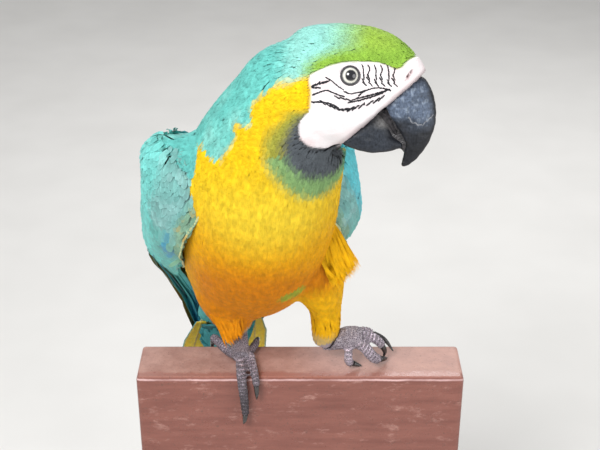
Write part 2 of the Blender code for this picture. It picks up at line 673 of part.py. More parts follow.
def main():
    clear_scene()
    parts = new_collection("macaw")
    scratch = new_collection("cutters", hidden=True)
    surfaces = {
        "yellow": material("yellow_plumage", (0.80, 0.42, 0.01), 0.7),
        "teal": material("teal_plumage", (0.16, 0.60, 0.55), 0.6),
        "blue": material("blue_feathers", (0.02, 0.25, 0.55), 0.5),
        "eye": material("eye", (0.02, 0.02, 0.03), 0.08),
        "bill": material("bill_horn", (0.06, 0.07, 0.09), 0.45),
        "tongue": material("tongue", (0.03, 0.03, 0.035), 0.4),
        "foot": material("foot_skin", (0.16, 0.14, 0.16), 0.6),
        "claw": material("claw_horn", (0.03, 0.03, 0.035), 0.35),
        "paint": material("rail_paint", (0.36, 0.15, 0.12), 0.4),
        "base": material("base_board", (0.10, 0.08, 0.07), 0.5),
        "rod": material("rod_steel", (0.5, 0.5, 0.5), 0.35, 1.0),
    }
    flesh = make_flesh(scratch, surfaces["yellow"])
    clearance = inflated(flesh, GAP, scratch)
    make_head_and_neck(flesh, parts, scratch, surfaces)
    make_tongue(parts, scratch, surfaces)
    for side, sign in (("right", -1), ("left", 1)):
        thigh_clearance = make_leg(side, clearance, parts, scratch, surfaces)
        make_wing(side, sign, (thigh_clearance, clearance), parts, scratch, surfaces["teal"])
        for index in range(len(RECTRICES)):
            rectrix(f"tail_{side}_{index + 1}", sign, index, parts, surfaces["blue"])
    for name, rows in TAIL_COVERTS.items():
        make_tail_covert(name, rows, parts, surfaces["teal"])
    make_stand(parts, surfaces)


main()
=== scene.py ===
"""Looks of the blue-and-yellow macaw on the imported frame: skin, coat, wings, tail, head and feet."""

import math

import bmesh
import bpy
import numpy as np
from mathutils import Matrix, Vector
from mathutils.bvhtree import BVHTree


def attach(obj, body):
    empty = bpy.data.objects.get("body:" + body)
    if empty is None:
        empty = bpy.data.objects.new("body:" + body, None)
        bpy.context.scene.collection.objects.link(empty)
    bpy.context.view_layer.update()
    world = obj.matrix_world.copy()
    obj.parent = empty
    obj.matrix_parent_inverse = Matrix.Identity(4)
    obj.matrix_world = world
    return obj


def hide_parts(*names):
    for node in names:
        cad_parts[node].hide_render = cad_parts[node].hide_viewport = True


CM = 0.01
SEED = 11


# ---------------------------------------------------------------- frames and numbers


class Frame:
    """A local frame whose coordinates are centimetres, for single points and for arrays of them."""

    def __init__(self, origin, x_axis, y_axis, z_axis):
        self.origin = np.array(origin, float)
        axes = [np.array(a, float) for a in (x_axis, y_axis, z_axis)]
        self.axes = np.stack([a / np.linalg.norm(a) for a in axes])

    def at(self, x, y, z):
        return self.origin + CM * (np.array((x, y, z), float) @ self.axes)

    def turn(self, x, y, z):
        return np.array((x, y, z), float) @ self.axes

    def local(self, points):
        return (np.asarray(points) - self.origin) @ self.axes.T / CM

    def world(self, points):
        return self.origin + CM * (np.asarray(points) @ self.axes)


def trunk_frame(shoulder, rump, yaw):
    """x is the bird's left, y its back and z runs down from the shoulders to the tail."""
    down = (rump - shoulder) / np.linalg.norm(rump - shoulder)
    left = np.array((math.cos(yaw), math.sin(yaw), 0.0))
    left = left - down * (left @ down)
    left = left / np.linalg.norm(left)
    return Frame(shoulder, left, np.cross(left, down), down)


def head_frame(centre, yaw, roll):
    """x points along the bill, y to the bird's left and z up out of the crown."""
    turn = np.array(Matrix.Rotation(-yaw, 3, "Z") @ Matrix.Rotation(-roll, 3, "X"))
    return Frame(centre, turn[:, 0], turn[:, 1], turn[:, 2])


PERCH = Frame((-0.03, -0.08, 0.40), (1, 0, 0), (0, 1, 0), (0, 0, 1))
BODY = trunk_frame(PERCH.at(0.2, -3.6, 21.4), PERCH.at(-2.0, 7.0, 4.0), math.radians(14))
HEAD = head_frame(PERCH.at(6.5, -5.9, 29.9), math.radians(6), math.radians(18))
TAIL = trunk_frame(PERCH.at(-3.7, 9.6, 0.6), PERCH.at(-9.0, 31.0, -36.0), math.radians(14))

RAIL_TOP = PERCH.origin[2]

# The body's axis from the tail's root to the back of the head, in the perch frame.
SPINE = np.array((
    (-4.3, 11.8, -3.2), (-3.7, 9.6, 0.6), (-2.7, 8.2, 2.8), (-1.6, 6.2, 5.9), (-1.05, 3.8, 9.3),
    (-0.6, 1.3, 12.8), (-0.3, -1.0, 16.3), (0.0, -2.7, 19.5), (0.65, -3.8, 22.4), (1.6, -4.6, 24.9),
    (2.6, -5.2, 27.1), (3.5, -5.6, 29.1), (4.3, -5.8, 30.3),
))
THIGHS = {
    "right": np.array((
        (-2.4, 1.2, 11.5), (-2.9, 2.0, 8.3), (-2.9, 2.9, 5.6), (-2.6, 3.5, 3.8), (-2.4, 3.7, 2.7),
    )),
    "left": np.array((
        (3.6, 0.6, 12.0), (4.5, 1.3, 8.8), (5.1, 2.0, 6.0), (5.2, 2.4, 3.6), (5.0, 2.6, 1.9),
    )),
}
THIGH_RADII = {"right": (3.4, 3.2, 2.3, 1.6, 1.1), "left": (2.9, 2.3, 1.45, 1.2, 0.95)}
EYE = (0.0, 1.98, -0.27)  # the left eye's centre in the head frame; the right one mirrors it
EYE_RADIUS = 0.68
EYE_LOOK = (0.24, 1.0, 0.12)  # a little forward and up from straight out to the bird's left
# The plane where face and bill meet, by its ends over the forehead and under the chin.
BILL_BASE = ((4.75, -0.2), (-0.35, -4.95))
# Outline of the bare white face seen from the side: x and z in the head frame.
FACE = np.array((
    (5.6, 1.6), (4.6, 1.2), (4.19, 1.04), (3.86, 0.84), (3.55, 0.44), (3.16, 0.29), (2.68, 0.50), (2.0, 0.70),
    (1.0, 0.74), (0.0, 0.70), (-0.62, 0.60), (-1.3, 0.40), (-2.0, 0.10), (-2.62, -0.25), (-2.62, -0.65),
    (-2.5, -1.27), (-2.48, -1.94), (-2.52, -2.6), (-2.8, -3.05), (-3.15, -3.4), (-3.25, -3.9), (-3.22, -4.4),
    (-3.05, -4.8), (-2.75, -5.12), (-2.32, -5.33), (-1.55, -5.43), (-0.4, -5.5), (0.9, -5.2), (6.5, -2.0),
))


def smooth(low, high, value):
    """0 below low, 1 above high and a soft step between them. high may be the lower one."""
    t = np.clip((value - low) / (high - low), 0.0, 1.0)
    return t * t * (3 - 2 * t)


def unit(vectors):
    return vectors / np.maximum(np.linalg.norm(vectors, axis=-1, keepdims=True), 1e-12)


def blend(weight, first, second):
    """first where weight is 0, second where it is 1."""
    return first + (second - first) * weight[..., None]


def along_line(points, line):
    """For each point: its place along a polyline, counted in corners, the line's direction there, the
    distance from it and the nearest spot on it."""
    best = np.full(len(points), 1e9)
    place = np.zeros(len(points))
    direction = np.zeros((len(points), 3))
    nearest = np.zeros((len(points), 3))
    for i, (a, b) in enumerate(zip(line[:-1], line[1:])):
        run = b - a
        t = np.clip((points - a) @ run / (run @ run), 0, 1)
        spot = a + t[:, None] * run
        distance = np.linalg.norm(points - spot, axis=1)
        closer = distance < best
        best[closer] = distance[closer]
        place[closer] = i + t[closer]
        direction[closer] = run / np.linalg.norm(run)
        nearest[closer] = spot[closer]
    return place, direction, best, nearest


def eye_look(sign):
    """Where an eye looks, in the head frame: sign is -1 for the right one and 1 for the left one."""
    return unit(np.array(EYE_LOOK) * (1, sign, 1))


def edge_distance(points, outline):
    """Signed distance of 2D points from a closed outline, below 0 inside."""
    best = np.full(len(points), 1e9)
    inside = np.zeros(len(points), bool)
    for a, b in zip(outline, np.roll(outline, -1, axis=0)):
        run = b - a
        t = np.clip((points - a) @ run / (run @ run), 0, 1)
        best = np.minimum(best, np.linalg.norm(points - a - t[:, None] * run, axis=1))
        crosses = (a[1] > points[:, 1]) != (b[1] > points[:, 1])
        slope = (b[0] - a[0]) / (b[1] - a[1]) if b[1] != a[1] else 0.0
        inside ^= crosses & (points[:, 0] < a[0] + slope * (points[:, 1] - a[1]))
    return np.where(inside, -best, best)


def ripple(points, scale, seed):
    """Smooth noise from -1 to 1 in three dimensions: a sum of a few waves in fixed random directions."""
    waves = np.random.default_rng(seed)
    total = np.zeros(len(points))
    for _ in range(7):
        direction = unit(waves.normal(size=3))
        total += np.sin(points @ direction / scale * waves.uniform(0.6, 1.7) + waves.uniform(0, 6.28))
    return total / 3.0


# ---------------------------------------------------------------- places on the bird


class Place:
    """Where points lie on the bird, as the markings, the coat's depth and its lie need it."""

    def __init__(self, points):
        self.points = points
        self.perch = PERCH.local(points)
        self.head = HEAD.local(points)
        self.body = BODY.local(points)
        self.along, self.forward, _, nearest = along_line(self.perch, SPINE)
        offset = self.perch - nearest
        left = BODY.axes[0] - self.forward * (self.forward @ BODY.axes[0])[:, None]
        left = unit(left)
        back = np.cross(left, -self.forward)
        self.angle = np.degrees(np.arctan2((offset * left).sum(1), (offset * back).sum(1)))
        self.side = np.abs(self.angle)  # 0 on the back, 180 on the breast
        x, z = self.head[:, 0], self.head[:, 2]
        (top_x, top_z), (low_x, low_z) = BILL_BASE
        run = np.array((top_x - low_x, top_z - low_z))
        run = run / np.linalg.norm(run)
        past = (x - low_x) * run[1] - (z - low_z) * run[0]
        self.past_bill = np.where(x > 2.6, past, np.minimum(past, (z + 5.9) * 2.0))
        self.face = edge_distance(np.stack((x, z), axis=1), FACE)
        midline = smooth(0.3, 0.7, np.abs(self.head[:, 1])) + smooth(4.2, 4.5, x)
        self.bare = smooth(0.1, -0.1, self.face) * np.clip(midline, 0, 1)
        self.on_head = smooth(-5.2, -2.6, x) * smooth(-6.0, -4.6, z)
        self.thigh = {}
        for name, line in THIGHS.items():
            place, direction, distance, _ = along_line(self.perch, line)
            radius = np.interp(place, range(len(line)), THIGH_RADII[name])
            weight = smooth(1.5, 1.05, distance / radius) * smooth(0.3, 1.2, place)
            self.thigh[name] = (weight, direction, place)


def lie_of_coat(points):
    """The way the feathers point: back over the head, down the neck and trunk, and down each thigh."""
    place = Place(points)
    flow = -place.forward
    backward = np.array((-1.0, 0.0, -0.12)) @ HEAD.axes
    flow = blend(place.on_head, flow, np.broadcast_to(backward, flow.shape))
    for weight, direction, _ in place.thigh.values():
        flow = blend(weight, flow, direction)
    return unit(flow)


def coat_depth(place):
    """How far the coat stands off the skin, in metres."""
    depth = 0.0022 + 0.0008 * smooth(10.5, 7.5, place.along)
    depth = depth + (0.0015 - depth) * place.on_head
    for weight, _, down in place.thigh.values():
        depth = depth + (0.0028 - 0.0020 * smooth(2.0, 3.5, down) - depth) * weight
    depth = depth * (1 - place.bare)
    return depth + 0.0020 * smooth(0.0, 0.2, place.past_bill)


# ---------------------------------------------------------------- markings

YELLOW = (0.96, 0.62, 0.008)
GOLD = (0.90, 0.42, 0.002)
ORANGE = (0.74, 0.22, 0.002)
LEMON = (0.97, 0.72, 0.045)
TEAL = (0.16, 0.60, 0.54)
PALE_TEAL = (0.32, 0.74, 0.66)
BLUE = (0.03, 0.25, 0.50)
GREEN = (0.28, 0.50, 0.06)
LIME = (0.34, 0.54, 0.07)
BLACK = (0.10, 0.115, 0.13)
OLIVE_GREEN = (0.17, 0.41, 0.18)
WHITE_SKIN = (0.86, 0.83, 0.84)
PINK_SKIN = (0.80, 0.62, 0.62)
BIB_GREEN = (0.33, 0.36, 0.06)
FEATHER_GREEN = (0.30, 0.48, 0.05)
TAIL_ROOT_TEAL = (0.10, 0.48, 0.46)
# The left thigh's gold: the bird's own yellow, painted brighter as painted light.
LIT_LEG_GOLD = (1.0, 0.54, 0.004)
HEEL = (0.45, 0.45, 0.30)
# How far round from the back the teal reaches, in degrees, at places along the spine.
TEAL_BORDER = (
    (0, 7.9, 8.35, 8.42, 9.3, 9.4, 9.7, 10.2, 11.2, 12), (84, 84, 98, 118, 117, 111, 121, 113, 121, 126),
)
# Places in the head frame: the crown's lower edge by x, then how far from the chin the black bib and its
# green fringe reach by z.
CROWN_EDGE = (-5, -3.3, -1.2, 0), (-1.2, -0.35, 0.2, 0.4)
CHIN = (-0.9, 0.0, -3.2)
BLACK_EDGE = (-7.0, -5.0, -4.0, -3.4, -2.9), (4.6, 4.25, 3.8, 3.4, 3.1)
GREEN_EDGE = (-9.0, -7.0, -5.0, -4.0, -3.2), (6.2, 5.9, 5.3, 4.7, 4.0)


def flat(colour, count):
    """One colour for each of a number of points."""
    return np.tile(np.array(colour, float), (count, 1))


def paint(colour, weight, over):
    """Lays one colour over an array of colours."""
    return blend(weight, colour, np.broadcast_to(np.array(over, float), colour.shape))


def layers(colour, *coats):
    """Lays several colours over an array of colours, each with its weight."""
    for weight, over in coats:
        colour = paint(colour, weight, over)
    return colour


def teal_colour(place):
    """The teal of the nape and the shoulders, which deepens to blue down the back."""
    wave, fine = ripple(place.perch, 1.3, 3), ripple(place.perch, 0.5, 5)
    return layers(
        flat(TEAL, len(wave)),
        (smooth(-0.6, 0.9, wave + 0.4 * fine), PALE_TEAL),
        (0.75 * smooth(8.5, 5.0, place.along), BLUE),
    )


def breast_colour(place, wave):
    """Yellow that deepens to gold and orange down the belly, partly the bird's own colour and partly painted
    shade where the belly turns down, with a lemon patch on the breast.
    """
    height = place.perch[:, 2] + 0.8 * wave
    patch = np.linalg.norm((place.perch - (1.0, -7.0, 19.5)) / (1.6, 1.0, 1.0), axis=1)
    return layers(
        flat(YELLOW, len(wave)),
        (0.85 * smooth(21.5, 16.0, height), GOLD),
        (0.85 * smooth(16.5, 11.5, height) * smooth(95, 130, place.side), ORANGE),
        (0.8 * smooth(5.5, 0.5, patch), LEMON),
    )


def with_back(colour, place, wave, fine):
    """Teal over the back and the nape, and a crown that fades to green over the forehead."""
    border = np.interp(place.along, *TEAL_BORDER)
    back = smooth(border + 2.5, border - 2.5, place.side + 2 * fine + 2 * wave)
    x, _, z = place.head.T
    above = smooth(-0.5, 0.1, z - np.interp(x, *CROWN_EDGE)) * smooth(-5.2, -3.6, x)
    strip = smooth(1.3, 0.3, place.face) * smooth(-4.2, -2.0, x)
    crown = layers(
        flat(PALE_TEAL, len(x)),
        (smooth(-2.6, 1.6, x + 0.5 * wave), LIME),
        (np.clip(strip + smooth(2.0, 4.0, x), 0, 1), GREEN),
    )
    return blend(above, blend(back, colour, teal_colour(place)), crown)


def with_bib(colour, place, wave, fine):
    """A black bib under the cheeks, fringed with green."""
    z = place.head[:, 2]
    chin = np.linalg.norm(place.head - CHIN, axis=1) + 0.15 * fine + 0.10 * wave
    under = smooth(-2.4, -3.1, z)
    green = np.where((z < -6.0)[:, None], OLIVE_GREEN, BIB_GREEN)
    colour = blend(0.9 * under * smooth(0.6, -0.5, chin - np.interp(z, *GREEN_EDGE)), colour, green)
    return paint(colour, under * smooth(0.5, -0.45, chin - np.interp(z, *BLACK_EDGE)), BLACK)


def plumage_colour(place):
    """The bird's markings: teal back and nape, yellow breast, black throat, green forehead, with the left
    thigh painted a brighter gold as painted light.
    """
    wave, fine = ripple(place.perch, 1.3, 3), ripple(place.perch, 0.5, 5)
    colour = with_back(breast_colour(place, wave), place, wave, fine)
    beside_thigh = np.linalg.norm((place.perch - (2.4, -2.8, 9.9)) / (1.3, 1.2, 0.9), axis=1)
    colour = layers(
        with_bib(colour, place, wave, fine),
        (0.8 * smooth(1.0, 0.6, beside_thigh + 0.3 * fine), FEATHER_GREEN),
        (smooth(2.4, 1.6, place.along), TAIL_ROOT_TEAL),
        # painted light: the left thigh in a brighter gold
        (0.95 * place.thigh["left"][0], LIT_LEG_GOLD),
    )
    for weight, _, down in place.thigh.values():
        colour = paint(colour, 0.6 * weight * smooth(2.9, 3.5, down), HEEL)
    return colour


def nostril(head):
    """How deep a point of the cere lies in the slanting slit of the nostril, from 0 to 1."""
    x, _, z = head.T
    return np.exp(-(((x - 4.01 - 0.45 * (z + 0.08)) / 0.085) ** 2 + ((z + 0.08) / 0.36) ** 4))


def skin_colour(place):
    """White and pink on the bare face, and under the coat the plumage's markings darkened as painted shade.
    """
    # Painted shade: the skin under the coat takes the plumage's colours darkened to 0.85.
    colour = paint(plumage_colour(place) * 0.85, smooth(-0.15, 0.05, place.past_bill), (0.02, 0.02, 0.02))
    for weight, _, down in place.thigh.values():
        colour = paint(colour, weight * smooth(3.3, 3.6, down), (0.34, 0.30, 0.33))
    blush = smooth(0.1, 0.9, ripple(place.head, 0.5, 8) + 0.5 * smooth(2.5, 4.0, place.head[:, 0]))
    face = layers(
        flat(WHITE_SKIN, len(colour)),
        (0.35 * blush, PINK_SKIN),
        # Painted shade: the nostril's slit is darkened.
        (nostril(place.head), (0.16, 0.08, 0.085)),
        (0.6 * smooth(-0.35, -0.05, place.past_bill), (0.35, 0.30, 0.31)),
    )
    return blend(place.bare, colour, face)


# ---------------------------------------------------------------- shaders


class Shader:
    """A material whose Principled surface is fed by short calls."""

    def __init__(self, name, **values):
        self.material = bpy.data.materials.new(name)
        self.material.use_nodes = True
        self.tree = self.material.node_tree
        self.surface = self.tree.nodes["Principled BSDF"]
        for key, value in values.items():
            self.surface.inputs[key.replace("_", " ").title().replace("Ior", "IOR")].default_value = value

    def node(self, kind, **settings):
        made = self.tree.nodes.new("ShaderNode" + kind)
        for key, value in settings.items():
            setattr(made, key, value)
        return made

    def feed(self, socket, value):
        if isinstance(value, bpy.types.NodeSocket):
            self.tree.links.new(value, socket)
        elif isinstance(value, tuple):
            socket.default_value = (*value, 1.0)
        else:
            socket.default_value = value

    def painted(self):
        return self.node("Attribute", attribute_name="coat_colour").outputs["Color"]

    def place(self):
        return self.node("TexCoord").outputs["Object"]

    def split(self, vector):
        made = self.node("SeparateXYZ")
        self.feed(made.inputs[0], vector)
        return made.outputs

    def noise(self, vector, scale, detail=4.0, rough=0.55):
        """Noise at one scale, or at three along the axes for a stretched grain."""
        if isinstance(scale, tuple):
            mapping = self.node("Mapping")
            self.feed(mapping.inputs["Vector"], vector)
            mapping.inputs["Scale"].default_value = scale
            vector, scale = mapping.outputs[0], 1.0
        made = self.node("TexNoise")
        self.feed(made.inputs["Vector"], vector)
        for key, value in (("Scale", scale), ("Detail", detail), ("Roughness", rough)):
            made.inputs[key].default_value = value
        return made.outputs[0]

    def cells(self, vector, scale):
        """Distance from the edges of scattered cells."""
        made = self.node("TexVoronoi", feature="DISTANCE_TO_EDGE")
        self.feed(made.inputs["Vector"], vector)
        made.inputs["Scale"].default_value = scale
        return made.outputs["Distance"]

    def ramp(self, value, *stops):
        """Colours or greys at places from 0 to 1."""
        made = self.node("ValToRGB")
        self.feed(made.inputs[0], value)
        points = made.color_ramp.elements
        while len(points) < len(stops):
            points.new(0.5)
        for point, (position, colour) in zip(points, stops):
            point.position = position
            point.color = (*colour, 1.0) if isinstance(colour, tuple) else (colour, colour, colour, 1.0)
        return made.outputs[0]

    def range(self, value, low, high, to_low=0.0, to_high=1.0):
        made = self.node("MapRange")
        for socket, number in zip(made.inputs[:5], (value, low, high, to_low, to_high)):
            self.feed(socket, number)
        return made.outputs[0]

    def math(self, operation, first, second=0.0):
        made = self.node("Math", operation=operation)
        self.feed(made.inputs[0], first)
        self.feed(made.inputs[1], second)
        return made.outputs[0]

    def mix(self, weight, first, second, way="MIX"):
        made = self.node("Mix", data_type="RGBA", blend_type=way)
        for socket, value in ((0, weight), (6, first), (7, second)):
            self.feed(made.inputs[socket], value)
        return made.outputs[2]

    def tinted(self, weight, colour, tint):
        return self.mix(weight, colour, tint, "MULTIPLY")

    def bump(self, height, depth, strength, under=None):
        made = self.node("Bump")
        made.inputs["Strength"].default_value = strength
        made.inputs["Distance"].default_value = depth
        self.feed(made.inputs["Height"], height)
        if under is not None:
            self.feed(made.inputs["Normal"], under)
        return made.outputs[0]

    def finish(self, colour, roughness=None, normal=None):
        for key, value in (("Base Color", colour), ("Roughness", roughness), ("Normal", normal)):
            if value is not None:
                self.feed(self.surface.inputs[key], value)
        return self.material


def vane_shader(name, gloss, barb_count, barb_depth):
    """Feather vanes: painted colour, fine barbs slanting off the shaft, soft mottling."""
    shader = Shader(name, Roughness=gloss, specular_ior_level=0.12, sheen_weight=0.02, sheen_roughness=0.4)
    across, along, _ = shader.split(shader.node("UVMap", uv_map="Vane").outputs[0])
    off_shaft = shader.math("ABSOLUTE", shader.math("SUBTRACT", across, 0.5))
    slant = shader.math("SUBTRACT", along, shader.math("MULTIPLY", off_shaft, 0.9))
    barbs = shader.math("SINE", shader.math("MULTIPLY", slant, barb_count * 2 * math.pi))
    streaks = shader.noise(shader.place(), (260.0, 260.0, 90.0), 3.0)
    clumps = shader.noise(shader.place(), 160.0, 3.0)
    colour = shader.tinted(1.0, shader.painted(), shader.ramp(streaks, (0.3, 0.86), (0.7, 1.10)))
    colour = shader.tinted(0.35, colour, shader.ramp(clumps, (0.35, 0.75), (0.65, 1.2)))
    colour = shader.tinted(0.35, colour, shader.range(barbs, -1.0, 1.0, 0.72, 1.1))
    rough = shader.range(streaks, 0.3, 0.7, gloss - 0.08, gloss + 0.1)
    return shader.finish(colour, rough, shader.bump(barbs, barb_depth, 0.6))


def skin_shader():
    """Bare, finely wrinkled skin."""
    shader = Shader("bare_skin", Roughness=0.5)
    place = shader.place()
    creases = shader.cells(place, 900.0)
    folds = shader.noise(place, (130.0, 130.0, 420.0), 5.0)
    blotches = shader.noise(place, 70.0)
    tint = shader.ramp(blotches, (0.3, (0.97, 0.90, 0.90)), (0.7, 1.0))
    colour = shader.tinted(1.0, shader.painted(), tint)
    # Painted shade: a little darker along the creases.
    colour = shader.tinted(0.25, colour, shader.ramp(creases, (0.0, 0.6), (0.06, 1.0)))
    normal = shader.bump(folds, 0.0006, 0.5, shader.bump(creases, 0.0003, 0.4))
    return shader.finish(colour, shader.range(blotches, 0.3, 0.7, 0.45, 0.62), normal)


def bill_shader():
    """Dark horn: chalky flanks, fine growth lines and scratches."""
    shader = Shader("bill_horn_finish", Roughness=0.42, specular_ior_level=0.3)
    place = shader.place()
    lines = shader.noise(place, (60.0, 60.0, 520.0), 5.0, 0.65)
    chalk = shader.noise(place, (720.0, 720.0, 420.0), 6.0, 0.75)
    colour = shader.tinted(1.0, shader.painted(), shader.ramp(lines, (0.3, 0.72), (0.75, 1.3)))
    colour = shader.tinted(0.8, colour, shader.ramp(chalk, (0.38, 0.55), (0.62, 1.6)))
    normal = shader.bump(lines, 0.0004, 0.5, shader.bump(chalk, 0.0003, 0.5))
    return shader.finish(colour, shader.range(chalk, 0.3, 0.7, 0.28, 0.55), normal)


def eye_shader():
    """Black pupil, pale ringed iris and a dark rim, under a wet cornea. The eye looks along -Y."""
    shader = Shader("eye_finish", Roughness=0.06, coat_weight=1.0, coat_roughness=0.02)
    place = shader.place()
    x, _, z = shader.split(place)
    square = shader.math("ADD", shader.math("POWER", x, 2.0), shader.math("POWER", z, 2.0))
    radius = shader.math("DIVIDE", shader.math("SQRT", square), EYE_RADIUS * CM)
    spokes = shader.noise(place, 900.0, 3.0)
    radius = shader.math("ADD", radius, shader.range(spokes, 0.3, 0.7, -0.02, 0.02))
    pupil = (0.004, 0.005, 0.009)
    return shader.finish(shader.ramp(
        radius, (0.0, pupil), (0.50, pupil), (0.54, (0.30, 0.30, 0.28)), (0.60, (0.72, 0.71, 0.62)),
        (0.68, (0.80, 0.80, 0.72)), (0.76, (0.40, 0.40, 0.38)), (0.84, (0.16, 0.16, 0.17)),
        (0.88, (0.03, 0.03, 0.035)),
    ))


def foot_shader():
    """Grey scaly feet with pale creases between dark scales, and painted light: lighter higher up and towards
    the bird's left, darker lower down.
    """
    shader = Shader("foot_skin_finish", Roughness=0.6)
    place = shader.place()
    x, _, z = shader.split(place)
    scales, large = shader.cells(place, 640.0), shader.cells(place, 300.0)
    colour = shader.ramp(
        scales, (0.0, (0.40, 0.36, 0.39)), (0.10, (0.15, 0.125, 0.15)), (0.4, (0.070, 0.055, 0.070)),
    )
    colour = shader.tinted(0.6, colour, shader.ramp(shader.noise(place, 90.0), (0.3, 0.6), (0.7, 1.5)))
    colour = shader.tinted(1.0, colour, shader.painted())
    # Painted light and shade: darker where the toes hang down the rail's front, lighter higher up, and
    # lighter towards the bird's left, where the left foot stands.
    light = shader.range(z, RAIL_TOP - 0.0150, RAIL_TOP + 0.0120, 0.45, 1.35)
    light = shader.math("MULTIPLY", light, shader.range(x, 0.0, 0.03, 0.86, 1.2))
    colour = shader.tinted(1.0, colour, light)
    small_steps = shader.ramp(scales, (0.0, 0.0), (0.2, 1.0))
    height = shader.math("ADD", small_steps, shader.ramp(large, (0.0, 0.0), (0.1, 0.6)))
    return shader.finish(colour, shader.range(scales, 0.0, 0.3, 0.75, 0.5), shader.bump(height, 0.0006, 0.9))


def claw_shader():
    """Glossy black claws with faint grey streaks."""
    shader = Shader("claw_finish", Roughness=0.22, coat_weight=0.4)
    streaks = shader.noise(shader.place(), (500.0, 500.0, 120.0))
    colour = shader.ramp(streaks, (0.3, (0.008, 0.008, 0.009)), (0.75, (0.05, 0.045, 0.042)))
    rough = shader.range(streaks, 0.3, 0.7, 0.15, 0.4)
    return shader.finish(colour, rough, shader.bump(streaks, 0.0002, 0.4))


def tongue_shader():
    """Dry black skin of the tongue, greyer where it is worn."""
    shader = Shader("tongue_finish", Roughness=0.5)
    wrinkles = shader.noise(shader.place(), 500.0)
    colour = shader.ramp(wrinkles, (0.35, (0.012, 0.012, 0.013)), (0.7, (0.06, 0.055, 0.06)))
    rough = shader.range(wrinkles, 0.3, 0.7, 0.4, 0.65)
    return shader.finish(colour, rough, shader.bump(wrinkles, 0.0003, 0.6))


def rail_shader():
    """Red-brown gloss paint, worn to dusty pink on top, with painted light: the top and the rounding of the
    front edge a lighter red, and a painted highlight in a bright, uneven line along that edge.
    """
    shader = Shader("rail_finish", Roughness=0.5)
    place = shader.place()
    _, y, z = shader.split(place)
    grain = shader.noise(place, (18.0, 110.0, 140.0), 6.0, 0.65)
    spots = shader.noise(place, 60.0, 6.0, 0.7)
    grit = shader.noise(place, 420.0, 5.0, 0.7)
    scuffs = shader.noise(place, (55.0, 90.0, 130.0), 7.0, 0.75)
    colour = shader.ramp(grain, (0.25, (0.17, 0.055, 0.041)), (0.75, (0.27, 0.100, 0.075)))
    colour = shader.mix(shader.ramp(scuffs, (0.56, 0.0), (0.72, 0.75)), colour, (0.46, 0.25, 0.21))
    # Painted light: the top and the upper rounding of the front edge in a lighter red than the front face.
    lit_top = shader.math("MULTIPLY", shader.range(z, RAIL_TOP - 0.0010, RAIL_TOP - 0.0002), 0.8)
    colour = shader.mix(lit_top, colour, (0.40, 0.19, 0.155))
    back = shader.math("ADD", y, shader.range(spots, 0.3, 0.7, -0.003, 0.003))
    level = shader.range(z, RAIL_TOP - 0.0020, RAIL_TOP - 0.0005)
    top = shader.math("MULTIPLY", shader.range(back, -0.0725, -0.0690), level)
    colour = shader.mix(top, colour, shader.ramp(spots, (0.3, (0.33, 0.17, 0.14)), (0.7, (0.52, 0.31, 0.26))))
    colour = shader.mix(shader.ramp(grit, (0.60, 0.0), (0.66, 0.7)), colour, (0.12, 0.06, 0.045))
    # Painted highlight: a bright line along the rounding of the front edge, made uneven by the noise called
    # worn.
    worn = shader.ramp(shader.noise(place, (30.0, 90.0, 90.0)), (0.35, 0.35), (0.6, 1.0))
    line = shader.math("ADD", z, shader.range(spots, 0.3, 0.7, -0.0004, 0.0004))
    above = shader.range(line, RAIL_TOP - 0.0034, RAIL_TOP - 0.0024)
    under = shader.range(line, RAIL_TOP - 0.0010, RAIL_TOP - 0.0020)
    line = shader.math("MULTIPLY", above, under)
    colour = shader.mix(shader.math("MULTIPLY", line, worn), colour, (0.66, 0.44, 0.43))
    normal = shader.bump(scuffs, 0.0008, 0.4, shader.bump(grit, 0.0004, 0.5))
    gloss, matt = shader.range(spots, 0.3, 0.7, 0.22, 0.42), shader.range(spots, 0.3, 0.7, 0.45, 0.65)
    return shader.finish(colour, shader.mix(top, gloss, matt), normal)


def base_shader():
    """Satin dark wood with a long grain."""
    shader = Shader("base_finish", Roughness=0.4, coat_weight=0.2, coat_roughness=0.25)
    place = shader.place()
    rings = shader.noise(place, (6.0, 90.0, 60.0), 6.0, 0.6)
    fibres = shader.noise(place, (40.0, 900.0, 900.0), 3.0)
    colour = shader.ramp(
        rings, (0.25, (0.055, 0.026, 0.012)), (0.55, (0.15, 0.075, 0.035)), (0.8, (0.24, 0.13, 0.065)),
    )
    colour = shader.tinted(0.4, colour, shader.ramp(shader.noise(place, 9.0, 3.0), (0.3, 0.75), (0.7, 1.2)))
    return shader.finish(colour, shader.range(fibres, 0.3, 0.7, 0.34, 0.5), shader.bump(fibres, 0.0003, 0.4))


def steel_shader():
    """Brushed steel rods."""
    shader = Shader("steel_finish", Metallic=1.0, Roughness=0.3)
    brushed = shader.noise(shader.place(), (40.0, 40.0, 1800.0), 3.0)
    colour = shader.ramp(brushed, (0.3, (0.45, 0.45, 0.46)), (0.7, (0.62, 0.62, 0.63)))
    rough = shader.range(brushed, 0.3, 0.7, 0.24, 0.42)
    return shader.finish(colour, rough, shader.bump(brushed, 0.0001, 0.3))


# ---------------------------------------------------------------- meshes


def new_object(name, mesh, material, slot):
    obj = bpy.data.objects.new(name, mesh)
    bpy.context.scene.collection.objects.link(obj)
    obj.data.materials.clear()
    obj.data.materials.append(material)
    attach(obj, "root")
    return obj


